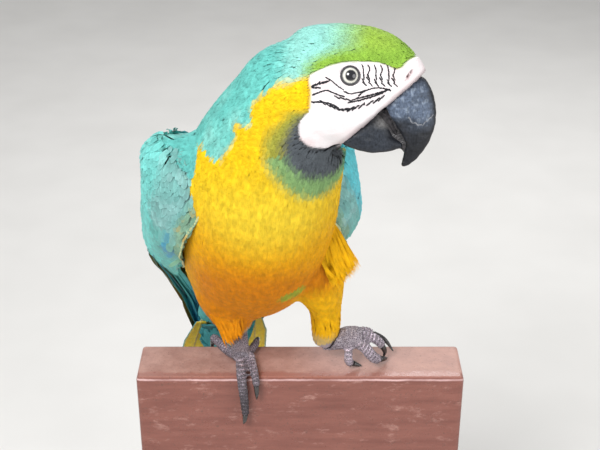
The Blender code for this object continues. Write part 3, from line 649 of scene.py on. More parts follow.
def mesh_from(name, points, faces):
    """A mesh from an array of points and an array of faces with one count of corners."""
    mesh = bpy.data.meshes.new(name)
    count, corners = faces.shape
    mesh.vertices.add(len(points))
    mesh.vertices.foreach_set("co", np.ascontiguousarray(points, np.float32).ravel())
    mesh.loops.add(count * corners)
    mesh.loops.foreach_set("vertex_index", np.ascontiguousarray(faces, np.int32).ravel())
    mesh.polygons.add(count)
    mesh.polygons.foreach_set("loop_start", np.arange(0, count * corners, corners, dtype=np.int32))
    mesh.update(calc_edges=True)
    mesh.shade_smooth()
    return mesh


def add_colour(mesh, colours):
    layer = mesh.color_attributes.new("coat_colour", "FLOAT_COLOR", "POINT")
    filled = np.ones((len(colours), 4), np.float32)
    filled[:, :3] = colours
    layer.data.foreach_set("color", filled.ravel())


def add_map(mesh, name, places):
    """A UV map from one place for each vertex."""
    corners = np.zeros(len(mesh.loops), np.int32)
    mesh.loops.foreach_get("vertex_index", corners)
    layer = mesh.uv_layers.new(name=name)
    layer.data.foreach_set("uv", np.ascontiguousarray(places[corners], np.float32).ravel())


def points_of(mesh):
    points = np.zeros(len(mesh.vertices) * 3, np.float32)
    mesh.vertices.foreach_get("co", points)
    return points.reshape(-1, 3).astype(float)


def normals_of(mesh):
    normals = np.zeros(len(mesh.vertices) * 3, np.float32)
    mesh.vertices.foreach_get("normal", normals)
    return normals.reshape(-1, 3).astype(float)


def set_points(mesh, points):
    mesh.vertices.foreach_set("co", np.ascontiguousarray(points, np.float32).ravel())
    mesh.update()


def mesh_of(bm, name):
    """The finished mesh of a BMesh, which is freed."""
    mesh = bpy.data.meshes.new(name)
    bm.to_mesh(mesh)
    bm.free()
    return mesh


def joined(meshes):
    """One mesh of several."""
    bm = bmesh.new()
    for part in meshes:
        bm.from_mesh(part)
    return mesh_of(bm, "copy")


def solids(nodes):
    """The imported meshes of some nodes."""
    return [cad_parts[node].data for node in nodes]


def trimmed(mesh, kept):
    """A copy of a mesh with only the points that are kept."""
    bm = bmesh.new()
    bm.from_mesh(mesh)
    bmesh.ops.delete(bm, geom=[vert for vert, stays in zip(bm.verts, kept) if not stays], context="VERTS")
    copy = mesh.copy()
    bm.to_mesh(copy)
    bm.free()
    return copy


def modified(mesh, *steps):
    """The mesh after a stack of modifiers, each a type and its settings."""
    obj = bpy.data.objects.new("work", mesh)
    bpy.context.scene.collection.objects.link(obj)
    for kind, settings in steps:
        modifier = obj.modifiers.new(kind, kind)
        for key, value in settings.items():
            setattr(modifier, key, value)
    graph = bpy.context.evaluated_depsgraph_get()
    made = bpy.data.meshes.new_from_object(obj.evaluated_get(graph))
    bpy.data.objects.remove(obj, do_unlink=True)
    return made


WELDED = ("WELD", {"merge_threshold": 0.00005})


def swollen(strength):
    return "DISPLACE", {"strength": strength, "mid_level": 0.0}


def voxels(size):
    return "REMESH", {"mode": "VOXEL", "voxel_size": size}


def smoothed(rounds):
    return "SMOOTH", {"iterations": rounds, "factor": 0.5}


def finer(levels):
    return "SUBSURF", {"levels": levels, "render_levels": levels}


def bridged(meshes, voxel, reach, rounds):
    """Meshes fused into one form whose hollows narrower than twice the reach are filled."""
    steps = WELDED, voxels(voxel), smoothed(3), swollen(reach), voxels(voxel), smoothed(rounds)
    mesh = modified(joined(meshes), *steps)
    points = points_of(mesh)
    set_points(mesh, points - normals_of(mesh) * reach)
    return mesh


def grown_together(nodes, voxel, swell, rounds):
    """The solids fused into one smooth form: swollen until they meet, remeshed, smoothed."""
    steps = ("TRIANGULATE", {}), swollen(swell), voxels(voxel), smoothed(rounds)
    return modified(joined(solids(nodes)), *steps)


class Surface:
    """A mesh to walk on: nearest points with smooth normals, and evenly spread places."""

    def __init__(self, mesh):
        self.points = points_of(mesh)
        normals = normals_of(mesh)
        mesh.calc_loop_triangles()
        faces = np.zeros(len(mesh.loop_triangles) * 3, np.int32)
        mesh.loop_triangles.foreach_get("vertices", faces)
        self.faces = faces.reshape(-1, 3)
        self.normals = unit(normals[self.faces].sum(axis=1))
        self.tree = BVHTree.FromPolygons(self.points.tolist(), self.faces.tolist())

    def nearest(self, points):
        found = [self.tree.find_nearest(p) for p in points.tolist()]
        spots = np.array([tuple(hit[0]) for hit in found])
        return spots, self.normals[[hit[2] for hit in found]]

    def spread(self, spacing, rng):
        """Random places at least spacing(points) apart, with the normal at each."""
        a, b, c = (self.points[self.faces[:, k]] for k in range(3))
        area = np.linalg.norm(np.cross(b - a, c - a), axis=1) / 2
        gap = spacing((a + b + c) / 3)
        wanted = np.where(gap > 0, area / np.maximum(gap, 1e-6) ** 2, 0.0)
        count = int(wanted.sum() * 7)
        chosen = rng.choice(len(wanted), size=count, p=wanted / wanted.sum())
        s, t = rng.random((2, count))
        flip = s + t > 1
        s, t = np.where(flip, 1 - s, s), np.where(flip, 1 - t, t)
        points = a[chosen] + s[:, None] * (b - a)[chosen] + t[:, None] * (c - a)[chosen]
        kept = apart(points, gap[chosen])
        return points[kept], self.normals[chosen][kept]


def apart(points, gaps):
    """Indices of points kept so that no two are closer than the later one's gap."""
    cells = np.floor(points / gaps.max()).astype(int).tolist()
    limits = (gaps ** 2).tolist()
    near = [(i, j, k) for i in (-1, 0, 1) for j in (-1, 0, 1) for k in (-1, 0, 1)]
    grid, kept = {}, []
    for index, ((x, y, z), (px, py, pz)) in enumerate(zip(cells, points.tolist())):
        others = (spot for i, j, k in near for spot in grid.get((x + i, y + j, z + k), ()))
        limit = limits[index]
        if all((px - qx) ** 2 + (py - qy) ** 2 + (pz - qz) ** 2 >= limit for qx, qy, qz in others):
            grid.setdefault((x, y, z), []).append((px, py, pz))
            kept.append(index)
    return np.array(kept)


# ---------------------------------------------------------------- small feathers

STATIONS = 5  # places along a feather where its centre line is read
PATCH = 0.003  # size of a feather's patch on the unwrap


def vane_template(tongues):
    """A loose vane whose end splits into tongues: its points' places along and across, the vane's width
    at each, and the triangles between them."""
    places = [(u, 2 * k / tongues - 1) for u in (0.0, 0.5) for k in range(tongues + 1)]
    triangles = []
    for k in range(tongues):
        a, b = k, tongues + 1 + k
        triangles += [(a, a + 1, b + 1), (a, b + 1, b)]
    for k in range(tongues):
        left, right = 2 * k / tongues - 1, 2 * (k + 1) / tongues - 1
        middle = (left + right) / 2
        first = len(places)
        places += [(0.78, left * 0.85 + middle * 0.15), (0.78, right * 0.85 + middle * 0.15)]
        places.append((1.0 - 0.20 * middle ** 2, middle * 0.9))
        a, b = tongues + 1 + k, tongues + 2 + k
        triangles += [(a, b, first + 1), (a, first + 1, first), (first, first + 1, first + 2)]
    along, across = np.array(places).T
    return along, across, np.interp(along, (0.0, 0.5, 1.0), (0.5, 1.0, 0.75)), np.array(triangles)[:, ::-1]


def firm_template():
    """A closed vane with a round end, in five columns, given like the loose one."""
    rows = ((0.0, 0.6), (0.35, 0.95), (0.68, 1.0), (0.86, 0.82), (0.96, 0.48))
    columns = (-1.0, -0.5, 0.0, 0.5, 1.0)
    places = [(u, v, w) for u, w in rows for v in columns] + [(1.0, 0.0, 0.0)]
    triangles = []
    for row in range(len(rows) - 1):
        for k in range(len(columns) - 1):
            a, b = row * len(columns) + k, (row + 1) * len(columns) + k
            triangles += [(a, a + 1, b + 1), (a, b + 1, b)]
    last = (len(rows) - 1) * len(columns)
    triangles += [(last + k, last + k + 1, len(places) - 1) for k in range(len(columns) - 1)]
    along, across, width = np.array(places).T
    return along, across, width, np.array(triangles)[:, ::-1]


def walk(surface, roots, normals, lengths, flow_at):
    """Centre lines that follow the lie of the coat over a surface, and run straight on past its end."""
    step = lengths / (STATIONS - 1)
    spots, ups = [roots], [normals]
    for _ in range(STATIONS - 1):
        here, up = spots[-1], ups[-1]
        flow = flow_at(here)
        flow = unit(flow - up * (flow * up).sum(1, keepdims=True))
        ahead = here + flow * step[:, None]
        spot, top = surface.nearest(ahead)
        off = np.linalg.norm(spot - ahead, axis=1) > 0.55 * step
        spots.append(np.where(off[:, None], ahead, spot))
        ups.append(np.where(off[:, None], up, unit(top + up)))
    return np.stack(spots, axis=1), np.stack(ups, axis=1)


def same_size(count, length, half, lift):
    """One length, half width and lift in centimetres for all of a number of feathers, in metres."""
    return np.tile(np.array((length, half, lift))[:, None] * CM, (1, count))


class Vanes:
    """How one kind of small feather is made: its outline, how much it strays and mottles, how much darker
    its edges are, and how high it starts as a share of its lift."""

    def __init__(self, template, material, slot, unwrap, stray=1.0, mottle=0.05, fringe=0.0, root=0.12):
        self.along, self.across, self.width, self.triangles = template
        self.material, self.slot, self.unwrap = material, slot, unwrap
        self.stray, self.mottle, self.fringe, self.root = stray, mottle, fringe, root

    def lay(self, name, lines, ups, size, colour_at, rng):
        """Feathers along centre lines. size holds each one's length, half width and lift in metres."""
        count, points_each = len(lines), len(self.along)
        length, half, lift = size
        half = half * rng.uniform(0.88, 1.12, count)
        lift = lift * rng.uniform(1 - 0.08 * self.stray, 1 + 0.04 * self.stray, count)
        loose = (self.along > 0.6) * self.stray
        along = np.clip(self.along + rng.normal(0, 0.035, (count, points_each)) * loose, 0, 1.05)
        place = np.clip(along * (STATIONS - 1), 0, STATIONS - 1.001)
        cell = place.astype(int)
        part = (place - cell)[..., None]
        row = np.arange(count)[:, None]

        def read(values):
            return values[row, cell] * (1 - part) + values[row, cell + 1] * part

        runs = unit(np.gradient(lines, axis=1))
        sides = unit(np.cross(ups, runs))
        width = half[:, None] * self.width
        turn = rng.normal(0, 0.05 * self.stray, (count, 1)) * length[:, None] * along
        roll = rng.normal(0, 0.05 * self.stray, (count, 1))
        off_side = self.across * width + turn
        rise = lift[:, None] * (self.root + (1 - self.root) * along ** 0.7)
        rise = rise + width * (roll * self.across - 0.22 * self.across ** 2)
        rise = rise + rng.normal(0, 0.03, rise.shape) * lift[:, None] * loose
        points = read(lines) + read(sides) * off_side[..., None] + read(ups) * rise[..., None]
        tint = colour_at(Place(lines[:, 3]))[:, None] * rng.normal(1.0, self.mottle, (count, 1, 1))
        # Painted shade: each feather is darker at its root, where the feathers over it shade it, and lighter
        # towards its tip; the loose tips also vary at random.
        shade = (0.92 + 0.10 * along) * (1 + rng.normal(0, 0.05, along.shape) * loose)
        shade = shade * (1 + self.fringe * (np.abs(self.across) ** 3 - 0.3))
        faces = (self.triangles[None] + (np.arange(count) * points_each)[:, None, None]).reshape(-1, 3)
        mesh = mesh_from(name, points.reshape(-1, 3), faces)
        add_colour(mesh, np.clip(tint * shade[..., None], 0, 1).reshape(-1, 3))
        add_map(mesh, "Vane", np.stack((off_side, along * length[:, None]), axis=-1).reshape(-1, 2) / CM)
        patch = np.stack((self.across * 0.5 + 0 * along, along - 0.5), axis=-1) * PATCH
        add_map(mesh, "OFBake", (self.unwrap(lines[:, 0])[:, None] + patch).reshape(-1, 2))
        soften(mesh, read(ups).reshape(-1, 3))
        return new_object(name, mesh, self.material, self.slot)


def soften(mesh, ups):
    """Turns each point's shading most of the way to the body's own, so that the coat looks silky."""
    own = normals_of(mesh)
    mesh.normals_split_custom_set_from_vertices(unit(0.35 * own + ups).tolist())


def spread_over(low, high, values):
    """Scales values onto the middle of the unwrap."""
    return 0.02 + 0.96 * np.clip((values - low) / (high - low), 0, 1)


def round_unwrap(points):
    """The trunk and neck unrolled: the angle round the body, and the way along it."""
    place = Place(points)
    return np.stack((spread_over(-180, 180, place.angle), spread_over(0, 12, place.along)), axis=1)


def head_unwrap(points):
    """The head unrolled round its bill's axis."""
    x, y, z = HEAD.local(points).T
    angle = np.degrees(np.arctan2(y, z + 1.0))
    return np.stack((spread_over(-180, 180, angle), spread_over(-5.5, 5.5, x)), axis=1)


# ---------------------------------------------------------------- the body's skin and coat


def sculpt_face(points, normals, place):
    """A dish and folds round each eye, a swollen cere with nostrils, and fine creases over the cheek."""
    x, y, z = place.head.T
    rise = np.zeros(len(x))
    shift = np.zeros((len(x), 3))
    for sign in (-1, 1):
        offset = place.head - (EYE[0], sign * EYE[1], EYE[2])
        look = eye_look(sign)
        height = offset @ look
        radial = np.linalg.norm(offset - height[:, None] * look, axis=1)
        near = smooth(1.3, 0.75, radial) * smooth(0.45, 0.62, radial) * (height > 0.0)
        shift += ((np.clip(height, 0.36, 0.40) - height) * near)[:, None] * (look @ HEAD.axes) * CM
        front = height > -0.6
        rise += front * 0.0005 * np.exp(-((radial - 0.86) / 0.08) ** 2)
        rise += front * 0.00025 * np.cos((radial - 0.86) * 30) * np.exp(-((radial - 1.15) / 0.22) ** 2)
    cere = np.exp(-(((x - 4.35) / 0.5) ** 2 + ((z - 0.35) / 0.7) ** 2))
    creases = ripple(place.head * (1.0, 0.3, 3.2), 0.42, 21)
    fold = np.sin(7.0 * (z + 0.18 * x) + 0.8 * ripple(place.head, 0.7, 4))
    fold = fold * smooth(-2.4, -0.8, z) * smooth(3.6, 2.4, x)
    rise = rise - 0.0030 * nostril(place.head) + 0.00018 * creases + 0.00022 * fold
    rise = rise * place.bare * smooth(0.25, 0.6, np.abs(normals @ HEAD.axes[1]))
    rise = rise + 0.0014 * cere * smooth(0.1, -0.2, place.past_bill)
    return points + shift + normals * rise[:, None]


# What the skin grows from. The bill is in it so that the skin runs on under the horn.
FLESH = ("head", "neck", "trunk", "thigh_right", "thigh_left", "bill_upper", "bill_lower")
SWELL = 0.0006  # how far solids are swollen so that those which touch grow together


def make_skin():
    """One skin under the whole coat, bare over the face. It runs on into the bill, which covers its end."""
    voxel = 0.0018
    mesh = grown_together(FLESH, voxel, SWELL, rounds=8)
    points, normals = points_of(mesh), normals_of(mesh)
    place = Place(points)
    set_points(mesh, points - normals * (SWELL * 0.8 + coat_depth(place))[:, None])
    set_points(mesh, sculpt_face(points_of(mesh), normals_of(mesh), place))
    add_colour(mesh, skin_colour(place))
    skin = new_object("body_skin", mesh, skin_shader(), "plumage")
    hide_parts("head", "neck", "trunk", "thigh_right", "thigh_left")
    return Surface(mesh)


def coat_size(place):
    """Spacing, length and half width of the feathers, in centimetres: smallest on the head."""
    trunk = smooth(9.5, 7.5, place.along)
    spacing = 0.22 + 0.04 * trunk
    length = 0.95 + 0.60 * trunk
    half = 0.165 + 0.050 * trunk
    for weight, _, down in place.thigh.values():
        leg = weight * smooth(1.0, 2.0, down)
        spacing = spacing + (0.22 - spacing) * leg
        length = length + (1.15 - 0.6 * smooth(2.6, 3.8, down) - length) * leg
        half = half + (0.135 - half) * leg
    head = np.clip(place.on_head, 0, 1)
    near_face = smooth(0.9, 0.1, place.face) * head
    spacing = spacing + (0.155 - 0.03 * near_face - spacing) * head
    length = length + (0.55 - 0.15 * near_face - length) * head
    half = half + (0.122 - 0.036 * near_face - half) * head
    return spacing, length, half


def coat_lift(place):
    """Height of the feathers' tips over the skin: the coat's depth, and more where the nape dips."""
    x, _, z = place.head.T
    return coat_depth(place) + 0.0022 * np.exp(-((x + 3.6) / 1.2) ** 2) * smooth(-0.5, 1.0, z)


def make_coat(skin):
    """Feathers all over the skin but the bare face and what the bill covers."""
    rng = np.random.default_rng(SEED)

    def spacing(points):
        place = Place(points)
        covered = (place.face > 0.04) | (place.bare < 0.05)
        covered &= place.past_bill < -0.05
        for name, (weight, _, down) in place.thigh.items():
            covered &= weight * (down + 0.3 * (name == "left") * (place.perch[:, 0] - 4.6)) < 3.45
        return np.where(covered, coat_size(place)[0] * CM, 0.0)

    roots, normals = skin.spread(spacing, rng)
    place = Place(roots)
    _, length, half = coat_size(place)
    length = length * rng.uniform(0.88, 1.15, len(length))
    size = np.stack((length * CM, half * CM, coat_lift(place)))
    lines, ups = walk(skin, roots, normals, size[0], lie_of_coat)
    legs = np.maximum(place.thigh["right"][0], place.thigh["left"][0])
    held = np.linalg.norm(skin.nearest(lines[:, -1])[0] - lines[:, -1], axis=1) < 0.002
    tests = place.on_head > 0.5, legs > 0.5, place.along > 8.2, place.side < 95, place.along > 5.6
    zones = np.select(tests, range(len(tests)), len(tests))
    for zone, name in enumerate(("head", "thigh", "neck", "back", "breast", "belly")):
        mine = (zones == zone) & (held | (legs > 0.5))
        unwrap, tongues = (head_unwrap, 5) if name == "head" else (round_unwrap, 7)
        kind = Vanes(vane_template(tongues), PLUMAGE, "plumage", unwrap, stray=0.6, mottle=0.035, root=0.65)
        kind.lay(name + "_feathers", lines[mine], ups[mine], size[:, mine], plumage_colour, rng)


# ---------------------------------------------------------------- face feathers

# Rows of tiny black feathers on the bare face: x and z in the head frame, the row's half width, then
# the length of the strokes that it is broken into and their slant, or 0 for an unbroken row.
FACE_ROWS = (
    (((-1.43, -0.43), (-1.09, -0.61), (-0.75, -0.90), (-0.30, -1.22)), 0.046, 0, 0),
    (((-0.21, -1.32), (0.16, -1.42), (0.71, -1.30), (1.11, -1.19)), 0.046, 0, 0),
    (((0.75, -1.48), (1.11, -1.20), (1.83, -1.00), (2.49, -1.05), (2.85, -1.16)), 0.049, 0, 0),
    (((-2.30, -0.98), (-2.05, -0.84), (-1.85, -0.66)), 0.058, 0, 0),
    (((-2.25, -0.90), (-1.70, -0.72), (-1.35, -0.62)), 0.052, 0.30, 0.25),
    (((-2.30, -1.10), (-1.80, -1.08)), 0.058, 0, 0),
    (((-2.25, -1.53), (-1.95, -1.40), (-1.5, -1.25), (-1.13, -1.31)), 0.052, 0, 0),
    (((-1.26, -1.28), (-0.60, -1.52), (-0.20, -1.62)), 0.049, 0, 0),
    (((-0.65, -1.70), (0.11, -1.86)), 0.049, 0.36, -0.25),
    (((0.10, -1.99), (0.80, -1.83), (1.71, -1.54), (2.37, -1.26)), 0.052, 0, 0),
    (((0.55, -1.72), (1.30, -1.52), (2.00, -1.30), (2.60, -1.12)), 0.041, 0.40, 0.15),
    (((-2.30, -2.05), (-1.77, -2.03), (-1.20, -2.10), (-0.57, -2.40)), 0.055, 0, 0),
    (((-1.60, -2.10), (-0.95, -2.36), (-0.40, -2.52), (0.15, -2.42)), 0.050, 0.42, -0.30),
    (((0.25, -2.40), (0.81, -2.22), (1.66, -1.90), (2.25, -1.62)), 0.052, 0.50, 0.35),
)
# Where the wavy rows in front of the eye start, in the head frame's x.
LORE_TOPS = (0.80, 1.20, 1.62, 2.04, 2.46, 2.87)


def smooth_line(points, count):
    """Evenly read Catmull-Rom curve through a few points."""
    points = np.array(points, float)
    padded = np.vstack((2 * points[0] - points[1], points, 2 * points[-1] - points[-2]))
    made = []
    for place in np.linspace(0, len(points) - 1.0001, count):
        i = int(place)
        t = place - i
        a, b, c, d = padded[i:i + 4]
        curve = (2 * a - 5 * b + 4 * c - d) * t * t + (3 * b - a - 3 * c + d) * t ** 3
        made.append(0.5 * (2 * b + (c - a) * t + curve))
    return np.array(made)


def lore_rows():
    """The upright wavy rows in front of the eye, each a chain of slanting strokes."""
    for number, top in enumerate(LORE_TOPS):
        sway = 0.05 * (-1) ** number
        yield ((top, 0.56), (top + 0.12, 0.25), (top + 0.10 + sway, -0.10)), 0.042, 0, 0
        yield ((top + 0.12 + sway, -0.20), (top + 0.12, -0.50), (top + 0.30, -0.80)), 0.046, 0.30, 0.3


def strokes(line, dash, slant):
    """The short strokes that a row is broken into, each turned off its way by the slant."""
    span = np.linalg.norm(np.diff(np.array(line), axis=0), axis=1).sum()
    path = smooth_line(line, max(int(span / (0.62 * dash)), 2))
    turn = np.array(((math.cos(slant), math.sin(slant)), (-math.sin(slant), math.cos(slant))))
    for spot, way in zip(path, unit(np.gradient(path, axis=0)) @ turn):
        yield spot - way * dash / 2, spot + way * dash / 2


def face_strokes():
    """Every unbroken row and every stroke of the broken ones, with its half width."""
    for line, width, dash, slant in (*FACE_ROWS, *lore_rows()):
        for part in (strokes(line, dash, slant) if dash else (line,)):
            yield part, width


def make_face_feathers(skin):
    """Tiny black tufts along each row, on both cheeks."""
    rng = np.random.default_rng(SEED + 1)
    roots, directions, widths = [], [], []
    for line, width in face_strokes():
        span = np.linalg.norm(np.diff(np.array(line), axis=0), axis=1).sum()
        path = smooth_line(line, max(int(span / 0.045), 4))
        ways = unit(np.gradient(path, axis=0))
        for side in (-1, 1):
            for (x, z), (way_x, way_z) in zip(path, ways):
                for _ in range(2):
                    jitter = rng.normal(0, width * 0.3)
                    start = HEAD.at(x - way_z * jitter, 5.0 * side, z + way_x * jitter)
                    hit = skin.tree.ray_cast(Vector(start), Vector(HEAD.turn(0, -side, 0)))[0]
                    if hit is not None:
                        roots.append(tuple(hit))
                        backward = -1 if way_x > 0.5 or way_z > 0.8 else 1
                        directions.append(HEAD.turn(way_x * backward, 0, way_z * backward))
                        widths.append(width)
    roots = np.array(roots)
    directions = unit(np.array(directions))
    normals = skin.nearest(roots)[1]
    count = len(roots)
    widths = np.array(widths) * CM
    size = np.stack((np.full(count, 0.15 * CM), 0.75 * widths, np.full(count, 0.0006)))

    def black(place):
        return flat((0.030, 0.031, 0.036), len(place.points))

    lines, ups = walk(skin, roots, normals, size[0], lambda points: directions)
    kind = Vanes(vane_template(2), PLUMAGE, "plumage", head_unwrap)
    kind.lay("face_feathers", lines, ups, size, black, rng)


# ---------------------------------------------------------------- long feathers

SHAFT = 0.09  # half width of the shaft's ridge, as a share of the vane's
BLADE_THICKNESS = 0.0005


def blade(path, ups, halves, camber, rng, columns=12):
    """One closed, thin quill feather along a path. Returns its points and faces, and for each point its
    place across and along, its place on the flat vane in centimetres, and 1 above or -1 below."""
    rows = len(path)
    runs = unit(np.gradient(path, axis=0))
    sides = unit(np.cross(ups, runs))
    across = np.sort(np.append(np.linspace(-1, 1, columns + 1), (-SHAFT, SHAFT)))
    wide = len(across)
    notch = np.ones((rows, wide))
    for _ in range(5):
        row = rng.integers(rows // 4, rows - 2)
        edge = rng.integers(0, 2) * (wide - 1)
        notch[row, edge] = rng.uniform(0.86, 0.95)
    width = halves[:, None] * notch * (1 + rng.normal(0, 0.012, (rows, 1)))
    ridge = np.exp(-(across / SHAFT) ** 2)[None] * np.linspace(1.0, 0.25, rows)[:, None]
    off_side = across[None] * width
    height = camber * width * (0.5 - across[None] ** 2) + 0.0007 * ridge
    base = path[:, None] + sides[:, None] * off_side[..., None]
    upper = base + ups[:, None] * (height + BLADE_THICKNESS / 2)[..., None]
    lower = base + ups[:, None] * (height - BLADE_THICKNESS / 2 - 0.0012 * ridge)[..., None]
    run = np.concatenate(((0.0,), np.cumsum(np.linalg.norm(np.diff(path, axis=0), axis=1)))) / CM
    laid = np.stack((off_side / CM, np.tile(run[:, None], (1, wide))), axis=-1)
    index = np.arange(rows * wide).reshape(rows, wide)
    a, b, c, d = (part.ravel() for part in (index[:-1, :-1], index[:-1, 1:], index[1:, 1:], index[1:, :-1]))
    top = np.stack((a, b, c, d), axis=1)
    below = np.stack((d, c, b, a), axis=1) + rows * wide
    ring = np.concatenate((index[0], index[1:, -1], index[-1, -2::-1], index[-2:0:-1, 0]))
    after = np.roll(ring, -1)
    rim = np.stack((after, ring, ring + rows * wide, after + rows * wide), axis=1)
    places = np.zeros((rows, wide, 2))
    places[..., 0] = across
    places[..., 1] = np.linspace(0, 1, rows)[:, None]
    face = np.ones(rows * wide)
    return (
        np.concatenate((upper.reshape(-1, 3), lower.reshape(-1, 3))),
        np.concatenate((top, below, rim)),
        np.tile(places.reshape(-1, 2), (2, 1)),
        np.tile(laid.reshape(-1, 2), (2, 1)),
        np.concatenate((face, -face)),
    )


def long_feathers(name, blades, colour_at, slot):
    """Joins blades into one piece, each with its own strip of the unwrap for either face."""
    points, faces, laid_flat, maps, colours = [], [], [], [], []
    start = 0
    for number, (spots, quads, places, laid, face) in enumerate(blades):
        strip = (number + 0.5 - 0.22 * (face > 0) + 0.22 * (face < 0)) / len(blades)
        maps.append(np.stack((strip + places[:, 0] * 0.19 / len(blades), 0.02 + 0.96 * places[:, 1]), axis=1))
        colours.append(colour_at(number, places, face))
        points.append(spots)
        laid_flat.append(laid)
        faces.append(quads + start)
        start += len(spots)
    mesh = mesh_from(name, np.concatenate(points), np.concatenate(faces))
    add_colour(mesh, np.concatenate(colours))
    add_map(mesh, "Vane", np.concatenate(laid_flat))
    add_map(mesh, "OFBake", np.concatenate(maps))
    return new_object(name, mesh, QUILLS, slot)


# ---------------------------------------------------------------- wings

# Folded wing sections down the trunk: distance, then outward and backward places of its front edge,
# of its outermost line and of its rear edge, then its thickness.
WING = np.array((
    (-2.6, 6.9, 0.9, 7.7, 2.1, 6.7, 2.7, 0.5),
    (-2.0, 6.5, -0.5, 8.4, 2.0, 6.3, 3.2, 0.9),
    (-0.6, 6.1, -2.0, 9.0, 1.9, 5.6, 4.0, 1.3),
    (1.0, 6.0, -3.0, 9.1, 1.8, 4.8, 4.8, 1.5),
    (3.6, 5.9, -3.2, 9.3, 1.8, 3.6, 5.5, 1.4),
    (7.0, 5.9, -2.8, 9.2, 2.2, 2.8, 6.0, 1.2),
    (11.0, 5.9, -1.3, 8.8, 2.9, 2.2, 6.0, 1.0),
    (15.0, 5.6, 0.5, 7.8, 3.4, 1.6, 5.5, 0.8),
    (19.0, 4.7, 1.8, 6.0, 3.5, 1.1, 4.7, 0.6),
    (24.0, 3.3, 2.2, 4.1, 3.0, 0.8, 3.7, 0.45),
    (29.0, 2.2, 2.0, 2.8, 2.5, 0.6, 2.9, 0.35),
    (34.5, 1.4, 1.7, 1.7, 2.0, 0.6, 2.2, 0.25),
))
WING_DRIFT = 0.0012  # how both wings' tips lean towards the bird's right, by the way down squared
# Which way each wing lies, its sideways scale at the wrist and below the elbow, and how far it hangs down.
WING_HOLD = {"right": (-1, 0.97, 0.98, 0.0), "left": (1, 0.8, 1.17, 1.6)}
# Rows of longer coverts: distance down, length and half width, in centimetres.
LONG_COVERTS = (
    (4.2, 1.9, 0.34), (5.0, 2.2, 0.38), (5.9, 2.6, 0.42), (6.9, 3.2, 0.46), (8.0, 4.0, 0.50),
    (9.2, 4.6, 0.52), (10.5, 4.8, 0.50), (11.9, 4.8, 0.46), (13.4, 4.6, 0.42), (14.8, 4.2, 0.38),
)
# How far the coat carries the front edge inward and the outermost line outward, by the way down, in cm.
WING_FIT = (
    (-2.6, -2.0, -0.6, 1.0, 3.6, 7.0, 9.5, 13.0, 17.0), (1.1, 1.4, 1.5, 0.9, -0.3, -0.5, 0.1, 0.5, 0.0),
    (0.1, 0.2, 0.3, 0.1, -0.5, -0.9, -0.7, -0.2, 0.0),
)
# How far down the flight feathers reach, from the front edge to the rear one.
PRIMARY_TIPS = (28.0, 30.5, 32.5, 34.0, 34.2, 34.0, 33.4, 32.6, 31.4, 30.0)
SECONDARY_TIPS = (25.0, 24.6, 24.2, 23.8, 23.2, 22.6, 22.0, 21.4, 20.6)


def wing_fit(down, across):
    """How far outward the coat lies from the plain wing at a place, in centimetres."""
    inward, outward = (np.interp(down, WING_FIT[0], row) for row in WING_FIT[1:])
    return 2.5 * across * (1 - across) * outward - (1 - across) ** 3 * inward


def wing_point(side, down, across):
    """A point of the folded wing's outer face, across from 0 at its front edge to 1 at its rear one."""
    section = (np.interp(down, WING[:, 0], WING[:, k]) for k in range(1, 7))
    front_x, front_y, mid_x, mid_y, rear_x, rear_y = section
    sign, wrist, elbow, drop = WING_HOLD[side]
    a, b, c = (1 - across) ** 2, 2 * across * (1 - across), across ** 2
    x = a * front_x + b * (2 * mid_x - (front_x + rear_x) / 2) + c * rear_x + wing_fit(down, across)
    y = a * front_y + b * (2 * mid_y - (front_y + rear_y) / 2) + c * rear_y
    scale = sign * (wrist + (elbow - wrist) * np.clip((down + 2) / 14, 0, 1))
    return BODY.world(np.stack((scale * x - WING_DRIFT * np.maximum(down, 0) ** 2, y, down + drop), axis=-1))


def wing_normal(side, down, across):
    """Outward normal of that face."""
    step = 0.01
    along = wing_point(side, down + step, across) - wing_point(side, down - step, across)
    over = wing_point(side, down, across + step) - wing_point(side, down, across - step)
    return unit(np.cross(over, along)) * -WING_HOLD[side][0]


def wing_places(side, points):
    """How far down a wing points lie, and about how far across it, from 0 at the front edge to 1."""
    _, y, down = BODY.local(points).T
    down = down - WING_HOLD[side][3]
    front, rear = np.interp(down, WING[:, 0], WING[:, 2]), np.interp(down, WING[:, 0], WING[:, 6])
    return down, np.clip((y - front) / (rear - front), 0, 1)


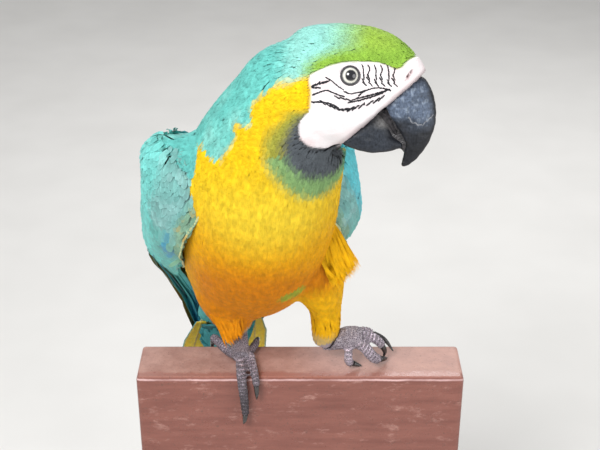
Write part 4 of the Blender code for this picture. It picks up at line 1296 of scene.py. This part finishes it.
def covert_colour(side):
    """Grey-teal scaled shoulders, turquoise outer rows and a green front edge with ochre specks. The right
    wing has a blue patch near that edge, and the left one is bluer all over its outer face."""
    def colour_at(place):
        down, across = wing_places(side, place.points)
        wave, fine = ripple(place.body, 1.1, 31), ripple(place.body, 0.30, 33)
        near = across + 0.02 * fine
        patch = smooth(0.085, 0.12, near) * smooth(0.20, 0.15, near)
        patch = patch * smooth(4.4, 6.5, down) * smooth(13.0, 9.0, down) * (side == "right")
        edge = smooth(0.13, 0.07, near)
        specks = smooth(0.5, 0.9, ripple(place.body, 0.16, 35))
        specks = specks * smooth(0.5, 1.5, down) * smooth(6.0, 3.5, down)
        bluer = smooth(0.24, 0.34, across + 0.02 * wave) * (side == "left")
        return layers(
            flat((0.22, 0.52, 0.49), len(down)),
            (0.8 * smooth(-0.4, 0.9, fine), (0.32, 0.62, 0.60)),
            (0.6 * smooth(3.0, 7.0, down + wave), (0.09, 0.50, 0.44)),
            (0.85 * smooth(0.27, 0.40, across + 0.05 * wave), (0.22, 0.78, 0.72)),
            (0.85 * smooth(0.62, 0.80, across + 0.05 * wave) * smooth(-1.0, 2.0, down), (0.05, 0.40, 0.55)),
            (0.8 * patch, (0.04, 0.33, 0.60)),
            (0.8 * edge * smooth(-0.5, 1.5, down), (0.26, 0.44, 0.27)),
            (0.6 * edge * specks, (0.62, 0.44, 0.12)),
            (0.9 * bluer, (0.13, 0.66, 0.76)),
            (0.6 * smooth(9.0, 12.0, down), (0.16, 0.72, 0.66)),
        )
    return colour_at


def wing_unwrap(side):
    """The wing's outer face unrolled, beside its inner face."""
    def unwrap(points):
        down, across = wing_places(side, points)
        outer = wing_point(side, down, across)
        inside = np.linalg.norm(points - outer, axis=1) > 0.006
        return np.stack((spread_over(0, 1, across) * 0.5 + 0.5 * inside, spread_over(-3, 35, down)), axis=1)
    return unwrap


def shoulder_coverts(side, core, rng):
    """Small scale-like feathers all over the upper wing: centre lines, their normals and sizes."""
    surface = Surface(core)

    def spacing(points):
        down, across = wing_places(side, points)
        gap = np.where(across < 0.12, 0.24, np.interp(down, (-3, 5), (0.27, 0.36)))
        lowest = np.where(across < 0.12, 14.0, 5.0)
        return np.where(down < lowest, gap * CM, 0.0)

    def flow(points):
        down, across = wing_places(side, points)
        way = unit(wing_point(side, down + 0.4, across) - wing_point(side, down, across))
        over = BODY.turn(0.8 * WING_HOLD[side][0], -0.35, 0.0)
        return unit(way + smooth(-1.0, -2.2, down)[:, None] * over)

    roots, normals = surface.spread(spacing, rng)
    down, across = wing_places(side, roots)
    narrow = smooth(0.16, 0.08, across)
    length = np.interp(down, (-3, 5), (0.85, 1.5)) * (1 - 0.25 * narrow) * CM
    half = np.interp(down, (-3, 5), (0.19, 0.29)) * (1 - 0.35 * narrow) * CM
    lines, ups = walk(surface, roots, normals, length, flow)
    return lines, ups, np.stack((length, half, np.full(len(roots), 0.0022)))


def long_coverts(side, rng):
    """Rows of longer coverts down the outer face: centre lines, their normals and sizes."""
    lines, ups, sizes = [], [], []
    share = np.linspace(0, 1, STATIONS)
    for number, (start, length, half) in enumerate(LONG_COVERTS):
        rim = wing_point(side, np.full(60, start), np.linspace(0, 1, 60))
        width = np.linalg.norm(np.diff(rim, axis=0), axis=1).sum() / CM
        count = int(width / (1.1 * half))
        across = 0.06 + 0.92 * (np.arange(count) + 0.25 + 0.5 * (number % 2)) / count
        across = across + rng.normal(0, 0.1 / count, count)
        tips = length * rng.uniform(0.9, 1.08, count)
        down = start + rng.normal(0, 0.10, (count, 1)) + tips[:, None] * share
        across = np.clip(across, 0, 1)[:, None] + 0 * down
        up = wing_normal(side, down, across)
        lines.append(wing_point(side, down, across) - 0.0016 * up)
        ups.append(up)
        sizes.append(np.stack((tips * CM, np.full(count, half * CM), np.full(count, 0.0026))))
    return np.concatenate(lines), np.concatenate(ups), np.concatenate(sizes, axis=1)


def rim_feathers(side):
    """One row of small pale feathers down the wing's front edge."""
    down = np.arange(-0.6, 13.0, 0.26)[:, None] + 0.85 * np.linspace(0, 1, STATIONS)
    across = np.full(down.shape, 0.012)
    up = wing_normal(side, down, across)
    size = same_size(len(down), length=0.85, half=0.07, lift=0.10)
    return wing_point(side, down, across) - 0.0004 * up, up, size


def rim_colour(place):
    """Cream with a little green and ochre."""
    wave = ripple(place.body, 0.4, 37)
    return paint(flat((0.66, 0.70, 0.36), len(wave)), smooth(0.2, 0.9, wave), (0.60, 0.44, 0.14))


def quill_on_wing(side, across, start, tip, half, sunk, rng):
    """One flight feather lying down the folded wing."""
    rows = 34
    share = np.linspace(0, 1, rows)
    down = start + (tip - start) * share
    line = across + 0.02 * np.sin(share * 3)
    ups = wing_normal(side, down, line)
    path = wing_point(side, down, line) - ups * (sunk + 0.0030 * smooth(18.0, 12.0, down))[:, None]
    shape = np.minimum(1.0, 0.6 + 2.0 * share) * (1 - share ** 5) ** 0.7
    return blade(path, ups, half * CM * np.maximum(shape, 0.06), 0.10, rng)


TURQUOISE = (0.14, 0.64, 0.62)
DARK_SHAFT = (0.02, 0.02, 0.025)


def flight_colour(side):
    """Blue webs with dark inner edges and points above, and golden ones below. Above, the three foremost
    are turquoise and the next two blue-black; below, the four foremost are turquoise."""
    def colour_at(number, places, face):
        across, along = places.T
        count = len(along)
        forward = -across * WING_HOLD[side][0]
        shaft = smooth(0.10, 0.04, np.abs(across))
        colour = layers(
            flat((0.04, 0.36, 0.58), count),
            (0.7 * smooth(0.2, 0.9, forward), (0.10, 0.52, 0.62)),
            (0.9 * smooth(0.0, -0.35, forward), (0.015, 0.04, 0.07)),
        )
        if number < 3:
            colour = paint(colour, 0.9 * smooth(0.8, 0.6, along), TURQUOISE)
        elif number < 5:
            colour = paint(colour, np.full(count, 0.9), (0.02, 0.05, 0.09))
        colour = layers(colour, (0.8 * smooth(0.80, 1.0, along), (0.02, 0.05, 0.10)), (shaft, DARK_SHAFT))
        under = layers(
            flat((0.36, 0.25, 0.04), count),
            (shaft, (0.25, 0.16, 0.05)),
            (smooth(0.75, 1.0, along), (0.10, 0.09, 0.04)),
        )
        if number < 4:
            under = paint(flat(TURQUOISE, count), smooth(0.5, 0.9, -forward), (0.03, 0.10, 0.13))
        return np.where((face > 0)[:, None], colour, under)
    return colour_at


CORE_REACH = (-1.2, 16.0)  # how far down the core shows: below it the flight feathers cover the wing


def wing_core(side, nodes):
    """The wing's three solids as one form, fitted to the coat and sunk under its coverts."""
    core = grown_together(nodes, voxel=0.002, swell=SWELL, rounds=4)
    points, normals = points_of(core), normals_of(core)
    down, across = wing_places(side, points)
    thick = np.interp(down, WING[:, 0], WING[:, 7]) * CM
    points = points + WING_HOLD[side][0] * CM * wing_fit(down, across)[:, None] * BODY.axes[0]
    depth, share = np.interp(down, (6, 11), (0.0016, 0.0032)), np.interp(down, (6, 11), (0.2, 0.44))
    set_points(core, points - normals * (SWELL + np.minimum(depth, share * thick))[:, None])
    # Painted shade: the core takes the coverts' colours darkened to 0.6, as in the shade under them.
    add_colour(core, covert_colour(side)(Place(points_of(core))) * 0.6)
    return core, (down > CORE_REACH[0]) & (down < CORE_REACH[1])


def make_wing(side):
    """The wing's core, its coverts and the fan of flight feathers. Returns the whole core."""
    rng = np.random.default_rng(SEED + (2 if side == "right" else 3))
    nodes = [f"wing_{side}_{part}" for part in ("coverts", "secondaries", "primaries")]
    core, shown = wing_core(side, nodes)
    skin = new_object(f"wing_{side}_core", trimmed(core, shown), SKIN, "wing_feathers")
    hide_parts(*nodes)

    look = {"stray": 0.5, "mottle": 0.06, "fringe": 0.22}
    kind = Vanes(firm_template(), QUILLS, "wing_feathers", wing_unwrap(side), **look)
    small, long = shoulder_coverts(side, core, rng), long_coverts(side, rng)
    kind.lay(f"wing_{side}_small_coverts", *small, covert_colour(side), rng)
    kind.lay(f"wing_{side}_long_coverts", *long, covert_colour(side), rng)
    kind.lay(f"wing_{side}_rim", *rim_feathers(side), rim_colour, rng)

    quills = []
    for number, tip in enumerate(PRIMARY_TIPS):
        across, sunk = 0.08 + 0.092 * number, 0.0020 - 0.00010 * number
        quills.append(quill_on_wing(side, across, 8.0, tip, 0.85, sunk, rng))
    for number, tip in enumerate(SECONDARY_TIPS):
        across, sunk = 0.30 + 0.075 * number, 0.0010 - 0.00006 * number
        quills.append(quill_on_wing(side, across, 6.5, tip, 1.0, sunk, rng))
    long_feathers(f"wing_{side}_quills", quills, flight_colour(side), "wing_feathers")
    return core


SHOULDER = -2.0  # how far down the trunk the wing's top lies


def make_scapular_skin(side, bridge):
    """The part of the filled-in form that lies over the top of the shoulder, sunk under its feathers."""
    points = points_of(bridge)
    x, y, z = BODY.local(points).T
    x = x * WING_HOLD[side][0]
    shown = (x > 2.2) & (x < 8.8) & (z > -5.0) & (z < SHOULDER) & (y > -1.0) & (Place(points).face > 0.6)
    set_points(bridge, points - 0.0010 * normals_of(bridge))
    under = trimmed(bridge, shown)
    # Painted shade: the teal darkened to 0.8 under the feathers.
    add_colour(under, teal_colour(Place(points_of(under))) * 0.8)
    new_object(f"scapular_{side}_skin", under, SKIN, "plumage")


def make_scapulars(side, core):
    """Feathers over the hollow between the neck, the back and the top of the folded wing."""
    rng = np.random.default_rng(SEED + (12 if side == "right" else 13))
    sign = WING_HOLD[side][0]
    skins = (bpy.data.objects["body_skin"].data, core)
    bridge = bridged(skins, voxel=0.003, reach=0.016 if side == "right" else 0.010, rounds=6)
    surface, plain = Surface(bridge), Surface(joined(skins))
    make_scapular_skin(side, bridge)
    way = unit(BODY.turn(0.6 * sign, 0.25, 1.0))

    def spacing(points):
        x, y, z = BODY.local(points).T
        x = x * sign
        spots, tops = plain.nearest(points)
        hollow = ((points - spots) * tops).sum(1) > 0.0007
        hollow |= (z < SHOULDER) & (x > 4.5)
        here = (x > 2.4) & (x < 8.5) & (z > -5.0) & (z < 5.0) & hollow
        here &= ((z < SHOULDER) & (y > -1.0)) | (y > 2.2)
        here &= Place(points).face > 0.8
        return np.where(here, 0.22 * CM, 0.0)

    roots, normals = surface.spread(spacing, rng)
    size = same_size(len(roots), length=1.15, half=0.19, lift=0.22)
    lines, ups = walk(surface, roots, normals, size[0], lambda points: np.tile(way, (len(points), 1)))
    kind = Vanes(vane_template(7), PLUMAGE, "plumage", round_unwrap, stray=0.6, mottle=0.035, root=0.6)
    kind.lay(f"scapular_{side}_feathers", lines, ups, size, teal_colour, rng)


# ---------------------------------------------------------------- tail

# Tail feathers from the middle outward: length and half width in centimetres, and lean in degrees.
RECTRICES = (
    (43.0, 1.35, 0.6), (37.0, 1.35, 1.4), (32.0, 1.35, 2.2), (27.5, 1.3, 3.1), (23.5, 1.25, 4.0),
    (20.0, 1.15, 5.0),
)
FEATHER_STEP = 0.0014  # how far each layer of the tail lies under the one before it, in metres
TOP_LAYER = 0.55  # how far the uppermost one lies above the tail's axis, in centimetres


def tail_colour(number, places, face):
    """Blue above with a turquoise edge; golden yellow below with a turquoise edge and a pale shaft."""
    off_shaft = np.abs(places[:, 0])
    shaft = smooth(0.10, 0.04, off_shaft)
    top = layers(
        flat((0.03, 0.26, 0.55), len(shaft)),
        (0.7 * smooth(0.5, 1.0, off_shaft), (0.08, 0.48, 0.58)),
        (shaft, (0.015, 0.02, 0.03)),
    )
    # The golden yellow below is the bird's own colour, painted brighter as painted light where the tail's
    # underside lies in shade.
    under = layers(
        flat((1.0, 0.78, 0.05), len(shaft)),
        (0.6 * smooth(0.2, 1.0, off_shaft), (0.95, 0.62, 0.04)),
        (smooth(0.88, 0.98, off_shaft), (0.12, 0.42, 0.40)),
        (shaft, (0.62, 0.48, 0.20)),
    )
    return np.where((face > 0)[:, None], top, under)


def make_tail():
    """Twelve overlapping feathers, the middle pair uppermost."""
    rng = np.random.default_rng(SEED + 5)
    out = TAIL.turn(0, 1, 0)
    share = np.linspace(0, 1, 60)
    shape = np.minimum(1.0, 0.45 + 3.0 * share) * (1 - share ** 3.2) ** 0.8
    for side_name, side in (("left", 1), ("right", -1)):
        for index, (length, half, lean) in enumerate(RECTRICES):
            angle = math.radians(lean) * side
            along = TAIL.turn(math.sin(angle), 0, math.cos(angle))
            layer = 2 * index + (side < 0) if index < 3 else index + 3
            start = TAIL.at(side * (0.3 + 0.44 * index), TOP_LAYER, 0.05) - out * FEATHER_STEP * layer
            path = start + along * (length * CM * share)[:, None]
            halves = half * CM * np.maximum(shape, 0.03)
            feather = blade(path, np.tile(out, (len(share), 1)), halves, 0.05, rng, columns=10)
            name = f"tail_{side_name}_{index + 1}"
            piece = long_feathers(name + "_vane", [feather], tail_colour, "tail_feathers")
            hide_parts(name)


def tail_covert_colour(place):
    """Blue-green above, and greener below."""
    below = smooth(0.2, -0.2, TAIL.local(place.points)[:, 1])
    return paint(flat((0.05, 0.38, 0.50), len(below)), 0.6 * below, (0.10, 0.50, 0.48))


def tail_unwrap(points):
    """The tail's root unrolled, with its thin sides beside its upper and lower faces."""
    x, y, z = TAIL.local(points).T
    return np.stack((spread_over(-3, 3, x) * 0.5 + 0.5 * (np.abs(y) > 1.0), spread_over(0, 11, z)), axis=1)


def make_tail_coverts():
    """The feathers over and under the tail's root, each set on a core."""
    rng = np.random.default_rng(SEED + 6)
    way = TAIL.axes[2]
    for node in ("tail_coverts_upper", "tail_coverts_lower"):
        core = grown_together([node], voxel=0.002, swell=SWELL, rounds=3)
        points, normals = points_of(core), normals_of(core)
        set_points(core, points - normals * 0.0020)
        # Painted shade: the core takes the coverts' colours darkened to half.
        add_colour(core, tail_covert_colour(Place(points_of(core))) * 0.5)
        skin = new_object(node + "_core", core, SKIN, "tail_feathers")
        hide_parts(node)
        surface = Surface(core)
        roots, normals = surface.spread(lambda points: np.full(len(points), 0.34 * CM), rng)
        sideways = np.abs(normals @ way) < 0.8  # not on the core's two ends
        roots, normals = roots[sideways], normals[sideways]
        size = same_size(len(roots), length=2.0, half=0.30, lift=0.17)
        lines, ups = walk(surface, roots, normals, size[0], lambda points: np.tile(way, (len(points), 1)))
        kind = Vanes(vane_template(7), PLUMAGE, "tail_feathers", tail_unwrap, stray=0.6, root=0.5)
        kind.lay(node + "_feathers", lines, ups, size, tail_covert_colour, rng)


# ---------------------------------------------------------------- eyes, bill, feet


def make_ball(side, centre, look, up):
    """A smooth eyeball with a low cornea. Its own -Y looks outward."""
    radius = EYE_RADIUS * CM
    bm = bmesh.new()
    bmesh.ops.create_uvsphere(bm, u_segments=48, v_segments=32, radius=radius)
    bmesh.ops.rotate(bm, verts=bm.verts, matrix=Matrix.Rotation(math.radians(90), 3, "X"))
    for vert in bm.verts:
        if vert.co.y < 0:
            vert.co.y -= 0.0004 * max(0.0, 1 - (math.hypot(vert.co.x, vert.co.z) / radius / 0.75) ** 2)
    mesh = mesh_of(bm, "eye_" + side)
    mesh.shade_smooth()
    ball = new_object(f"eye_{side}_ball", mesh, EYE_FINISH, "eye")
    turn = Matrix((np.cross(look, up), look, up)).transposed().to_4x4()
    ball.matrix_world = Matrix.Translation(Vector(centre)) @ turn
    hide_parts("eye_" + side)


def make_eye(side, sign):
    """The eyeball, and a ring of dark beaded lids round it."""
    centre = HEAD.at(EYE[0], sign * EYE[1], EYE[2])
    look = -eye_look(sign) @ HEAD.axes
    up = HEAD.turn(0, 0, 1)
    up = unit(up - look * (up @ look))
    make_ball(side, centre, look, up)

    rings, around, beads = 10, 72, 36
    angle = np.linspace(0, 2 * math.pi, around, endpoint=False)[:, None]
    turn = np.linspace(0, 2 * math.pi, rings, endpoint=False)[None]
    bead = 1 + 0.12 * np.cos(angle * beads)
    radius = 0.625 + 0.065 * np.cos(turn) * bead + 0.008 * np.cos(2 * angle)
    height = 0.395 + 0.055 * np.sin(turn) * bead
    ring = np.cos(angle)[..., None] * np.cross(look, up) + np.sin(angle)[..., None] * up
    points = centre + CM * (radius[..., None] * ring - height[..., None] * look)
    index = np.arange(around * rings).reshape(around, rings)
    ahead, over = np.roll(index, -1, axis=0), np.roll(index, -1, axis=1)
    corner = np.roll(ahead, -1, axis=1)
    faces = np.stack([part.ravel() for part in (index, over, corner, ahead)], axis=1)
    mesh = mesh_from("lids_" + side, points.reshape(-1, 3), faces)
    add_colour(mesh, flat((0.045, 0.045, 0.05), around * rings))
    new_object(f"eye_{side}_lids", mesh, SKIN, "eye")


# A pale line across each flank of the upper bill: x and z in the head frame.
GROWTH_LINE = np.array(((4.05, -2.95), (4.35, -3.3), (5.15, -3.5), (5.35, -3.15), (5.75, -2.8)))


def bill_colour(place, upper):
    """Near-black horn. The upper half is chalky blue on its flanks, with a pale growth line."""
    x, y, z = place.head.T
    wave, fine = ripple(place.head, 0.35, 41), ripple(place.head, 0.075, 42)
    flank = smooth(0.3, 1.0, np.abs(y) + 0.15 * wave)
    horn = flat((0.011, 0.012, 0.015), len(x))
    if not upper:
        rim = smooth(-4.0, -3.5, z) * smooth(1.4, 2.4, x)
        return layers(horn, (0.7 * flank, (0.026, 0.032, 0.043)), (0.5 * rim, (0.25, 0.24, 0.23)))
    chalk = flank * smooth(-3.9, -2.6, z + 0.25 * wave)
    level = np.stack((x + 0.05 * wave, z + 0.05 * fine, 0 * x), axis=1)
    distance = along_line(level, np.column_stack((GROWTH_LINE, np.zeros(len(GROWTH_LINE)))))[2]
    return layers(
        horn,
        (0.85 * chalk, (0.105, 0.138, 0.200)),
        (0.45 * chalk * smooth(0.3, 0.9, fine), (0.26, 0.31, 0.38)),
        (0.5 * flank * smooth(-2.6, -3.9, z), (0.022, 0.025, 0.032)),
        (0.6 * smooth(0.04, 0.012, distance), (0.36, 0.36, 0.37)),
    )


def make_bill(part):
    """A half of the bill, smoothed, with low growth rings and flaking horn."""
    node = "bill_" + part
    mesh = modified(joined(solids([node])), WELDED, voxels(0.0011), smoothed(6), finer(1))
    points, normals = points_of(mesh), normals_of(mesh)
    place = Place(points)
    x, _, z = place.head.T
    plates = 0.00012 * np.sin(9.0 * (z + 0.5 * x) + 1.5 * ripple(place.head, 0.8, 43))
    flakes = 0.00010 * ripple(place.head, 0.16, 44)
    set_points(mesh, points + normals * (plates + flakes + 0.0004)[:, None])
    add_colour(mesh, bill_colour(Place(points_of(mesh)), part == "upper"))
    piece = new_object(node + "_horn", mesh, BILL, "bill_horn")
    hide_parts(node)


def make_mouth():
    """The dark lining of the mouth, which closes the slit between the two bills."""
    mesh = bridged(solids(["bill_upper", "bill_lower", "tongue"]), voxel=0.0012, reach=0.003, rounds=3)
    set_points(mesh, points_of(mesh) - 0.0009 * normals_of(mesh))
    new_object("mouth_lining", mesh, TONGUE, "tongue_skin")


SCUTE = 0.33  # length of a scute along the toes


def toe_run(points, nodes):
    """How far each point lies along the solid that it belongs to, in centimetres, and which one that is."""
    runs, gaps = [], []
    for mesh in solids(nodes):
        solid = points_of(mesh)
        middle = solid.mean(axis=0)
        axis = np.linalg.svd(solid - middle, full_matrices=False)[2][0]
        runs.append((points - middle) @ axis / CM)
        gaps.append(np.linalg.norm(Surface(mesh).nearest(points)[0] - points, axis=1))
    nearest = np.argmin(gaps, axis=0)
    return np.choose(nearest, runs), nearest


def make_foot(side):
    """Shank and toes as one scaly skin, with cross scutes over the toes; claws stay separate."""
    nodes = [f"shank_{side}"] + [f"toe_{side}_{k}" for k in range(1, 5)]
    mesh = grown_together(nodes, voxel=0.0010, swell=0.0005, rounds=5)
    points, normals = points_of(mesh), normals_of(mesh)
    local = PERCH.local(points)
    run, part = toe_run(points, nodes)
    upper = smooth(-0.2, 0.4, normals @ unit(np.array((0.0, -0.7, 0.7))))
    band = np.cos(run * 2 * math.pi / SCUTE + 1.3 * ripple(local, 0.3, 52))
    band = np.where(part > 0, band * upper, 0.0)  # the shank, part 0, has none
    slim = 0.0008 + 0.0005 * np.abs(normals[:, 0])
    rise = 0.00014 * ripple(local, 0.07, 51) + 0.00035 * band - slim
    set_points(mesh, points + normals * rise[:, None])
    colour = paint(np.ones((len(points), 3)), 0.35 * smooth(0.2, 0.8, band), (0.3, 0.3, 0.32))
    add_colour(mesh, paint(colour, 0.75 * smooth(-0.6, -0.95, band), (2.3, 2.2, 2.3)))
    foot = new_object(f"foot_{side}_skin", mesh, FOOT, "foot_skin")
    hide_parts(*nodes)
    for k in range(1, 5):
        node = f"claw_{side}_{k}"
        horn = modified(joined(solids([node])), WELDED, finer(2))
        horn.shade_smooth()
        set_points(horn, points_of(horn) + normals_of(horn) * 0.0002)
        piece = new_object(node + "_horn", horn, CLAW, "claw_horn")
        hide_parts(node)


# ---------------------------------------------------------------- loose tufts


def between(ends, share, spread, rng):
    """Places scattered about the line between two ends."""
    middle = np.array(ends[0]) * (1 - share) + np.array(ends[1]) * share
    return middle + rng.normal(0, spread, (len(share), 3))


def splayed(name, skin, count, starts, ends, half, colour, rng):
    """Loose feathers that fan out over a leg, from a line of starts to a line of ends."""
    share = rng.random((count, 1))
    start, end = between(starts, share, 0.18, rng), between(ends, share, 0.16, rng)
    steps = np.linspace(0, 1, STATIONS)[None, :, None]
    lines = PERCH.world(start[:, None] * (1 - steps) + end[:, None] * steps).reshape(-1, 3)
    spots, tops = skin.nearest(lines)
    clear, near = 0.0024, 0.012
    sunk = (((lines - spots) * tops).sum(1) < clear) & (np.linalg.norm(lines - spots, axis=1) < near)
    sunk &= np.tile(np.arange(STATIONS) < 3, count)
    lines = np.where(sunk[:, None], spots + clear * tops, lines).reshape(count, STATIONS, 3)
    ups = np.tile(unit(PERCH.turn(0.2, -0.95, 0.2)), (count, STATIONS, 1))
    length = np.linalg.norm(lines[:, -1] - lines[:, 0], axis=1)
    size = np.stack((length, np.full(count, half * CM), np.full(count, 0.0006)))

    def colour_at(place):
        return paint(flat(colour, count), 0.5 * smooth(6.0, 3.0, place.perch[:, 2]), ORANGE)

    kind = Vanes(vane_template(5), PLUMAGE, "plumage", round_unwrap)
    kind.lay(name, lines, ups, size, colour_at, rng)


def make_tufts(skin):
    """The tuft out of the left flank, and the feathers that hang from the right thigh over its heel."""
    rng = np.random.default_rng(SEED + 8)
    starts, ends = ((5.4, -2.2, 16.2), (4.5, -2.2, 13.2)), ((7.55, -1.5, 11.5), (6.1, -1.6, 10.1))
    splayed("flank_tuft", skin, 130, starts, ends, 0.14, (0.96, 0.50, 0.005), rng)
    starts, ends = ((-4.3, 0.4, 6.4), (-2.2, 0.4, 6.0)), ((-3.0, 2.1, 1.85), (-2.2, 2.3, 2.8))
    splayed("thigh_tuft", skin, 90, starts, ends, 0.10, (0.84, 0.33, 0.004), rng)


# ---------------------------------------------------------------- stand, camera and light


def finish_node(node, material):
    """Gives a node that shows as it was packed its finish."""
    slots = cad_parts[node].material_slots
    for slot in slots:
        slot.material = material
    if not slots:
        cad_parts[node].data.materials.append(material)


def make_stand():
    """The finishes of the stand, and of the tongue."""
    steel = steel_shader()
    finishes = {
        "tongue": TONGUE, "perch_rail": rail_shader(), "stand_base": base_shader(),
        "stand_rod_left": steel, "stand_rod_right": steel,
    }
    for node, material in finishes.items():
        finish_node(node, material)


def make_camera():
    """The photo's view: a little in front of the bird and above it, looking 28 degrees down."""
    data = bpy.data.cameras.new("camera")
    data.lens = 69.6
    data.sensor_width = 36.0
    camera = bpy.data.objects.new("camera", data)
    camera.location = (0.0, -0.891, 0.979)
    camera.rotation_euler = (math.radians(90 - 28), 0, 0)
    bpy.context.scene.collection.objects.link(camera)
    bpy.context.scene.camera = camera


def area_light(name, spot, target, size, power):
    data = bpy.data.lights.new(name, "AREA")
    data.shape = "DISK"
    data.size = size
    data.energy = power
    lamp = bpy.data.objects.new(name, data)
    lamp.location = spot
    lamp.rotation_euler = (Vector(target) - Vector(spot)).to_track_quat("-Z", "Y").to_euler()
    bpy.context.scene.collection.objects.link(lamp)


def make_studio():
    """A pale floor, a soft white surround and three soft lamps."""
    bm = bmesh.new()
    bmesh.ops.create_grid(bm, x_segments=8, y_segments=8, size=6.0)
    mesh = mesh_of(bm, "floor")
    floor = bpy.data.objects.new("floor", mesh)
    bpy.context.scene.collection.objects.link(floor)
    shader = Shader("floor_finish", Roughness=0.9)
    mottle = shader.noise(shader.place(), 6.0, 2.0)
    colour = shader.ramp(mottle, (0.3, (0.70, 0.69, 0.67)), (0.7, (0.74, 0.73, 0.71)))
    mesh.materials.append(shader.finish(colour))
    world = bpy.data.worlds.new("surround")
    world.use_nodes = True
    background = world.node_tree.nodes["Background"]
    background.inputs["Color"].default_value = (1.0, 1.0, 1.0, 1.0)
    background.inputs["Strength"].default_value = 0.52
    bpy.context.scene.world = world
    target = (0.0, -0.08, 0.58)
    area_light("key", (-0.7, -1.3, 1.9), target, 0.9, 38)
    area_light("fill", (1.5, -1.0, 0.9), target, 1.4, 12)
    area_light("back", (0.4, 1.5, 1.6), target, 1.0, 16)


# ---------------------------------------------------------------- the scene

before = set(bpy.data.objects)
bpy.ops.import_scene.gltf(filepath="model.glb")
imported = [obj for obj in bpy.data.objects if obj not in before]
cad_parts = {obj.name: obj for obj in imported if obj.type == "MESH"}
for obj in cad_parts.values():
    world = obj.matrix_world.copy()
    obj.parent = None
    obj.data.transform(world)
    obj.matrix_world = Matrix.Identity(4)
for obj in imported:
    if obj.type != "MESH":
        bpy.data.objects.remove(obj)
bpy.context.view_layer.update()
bpy.context.scene.view_settings.view_transform = "Standard"
PLUMAGE = vane_shader("plumage_finish", 0.62, 9.0, 0.0002)
QUILLS = vane_shader("quill_finish", 0.42, 11.0, 0.0003)
SKIN = skin_shader()
BILL = bill_shader()
EYE_FINISH = eye_shader()
FOOT = foot_shader()
CLAW = claw_shader()
TONGUE = tongue_shader()

make_camera()
make_studio()
body = make_skin()
make_coat(body)
make_face_feathers(body)
for wing_side in ("right", "left"):
    make_scapulars(wing_side, make_wing(wing_side))
    make_foot(wing_side)
    make_eye(wing_side, -1 if wing_side == "right" else 1)
make_tail()
make_tail_coverts()
make_tufts(body)
for bill_part in ("upper", "lower"):
    make_bill(bill_part)
make_mouth()
make_stand()
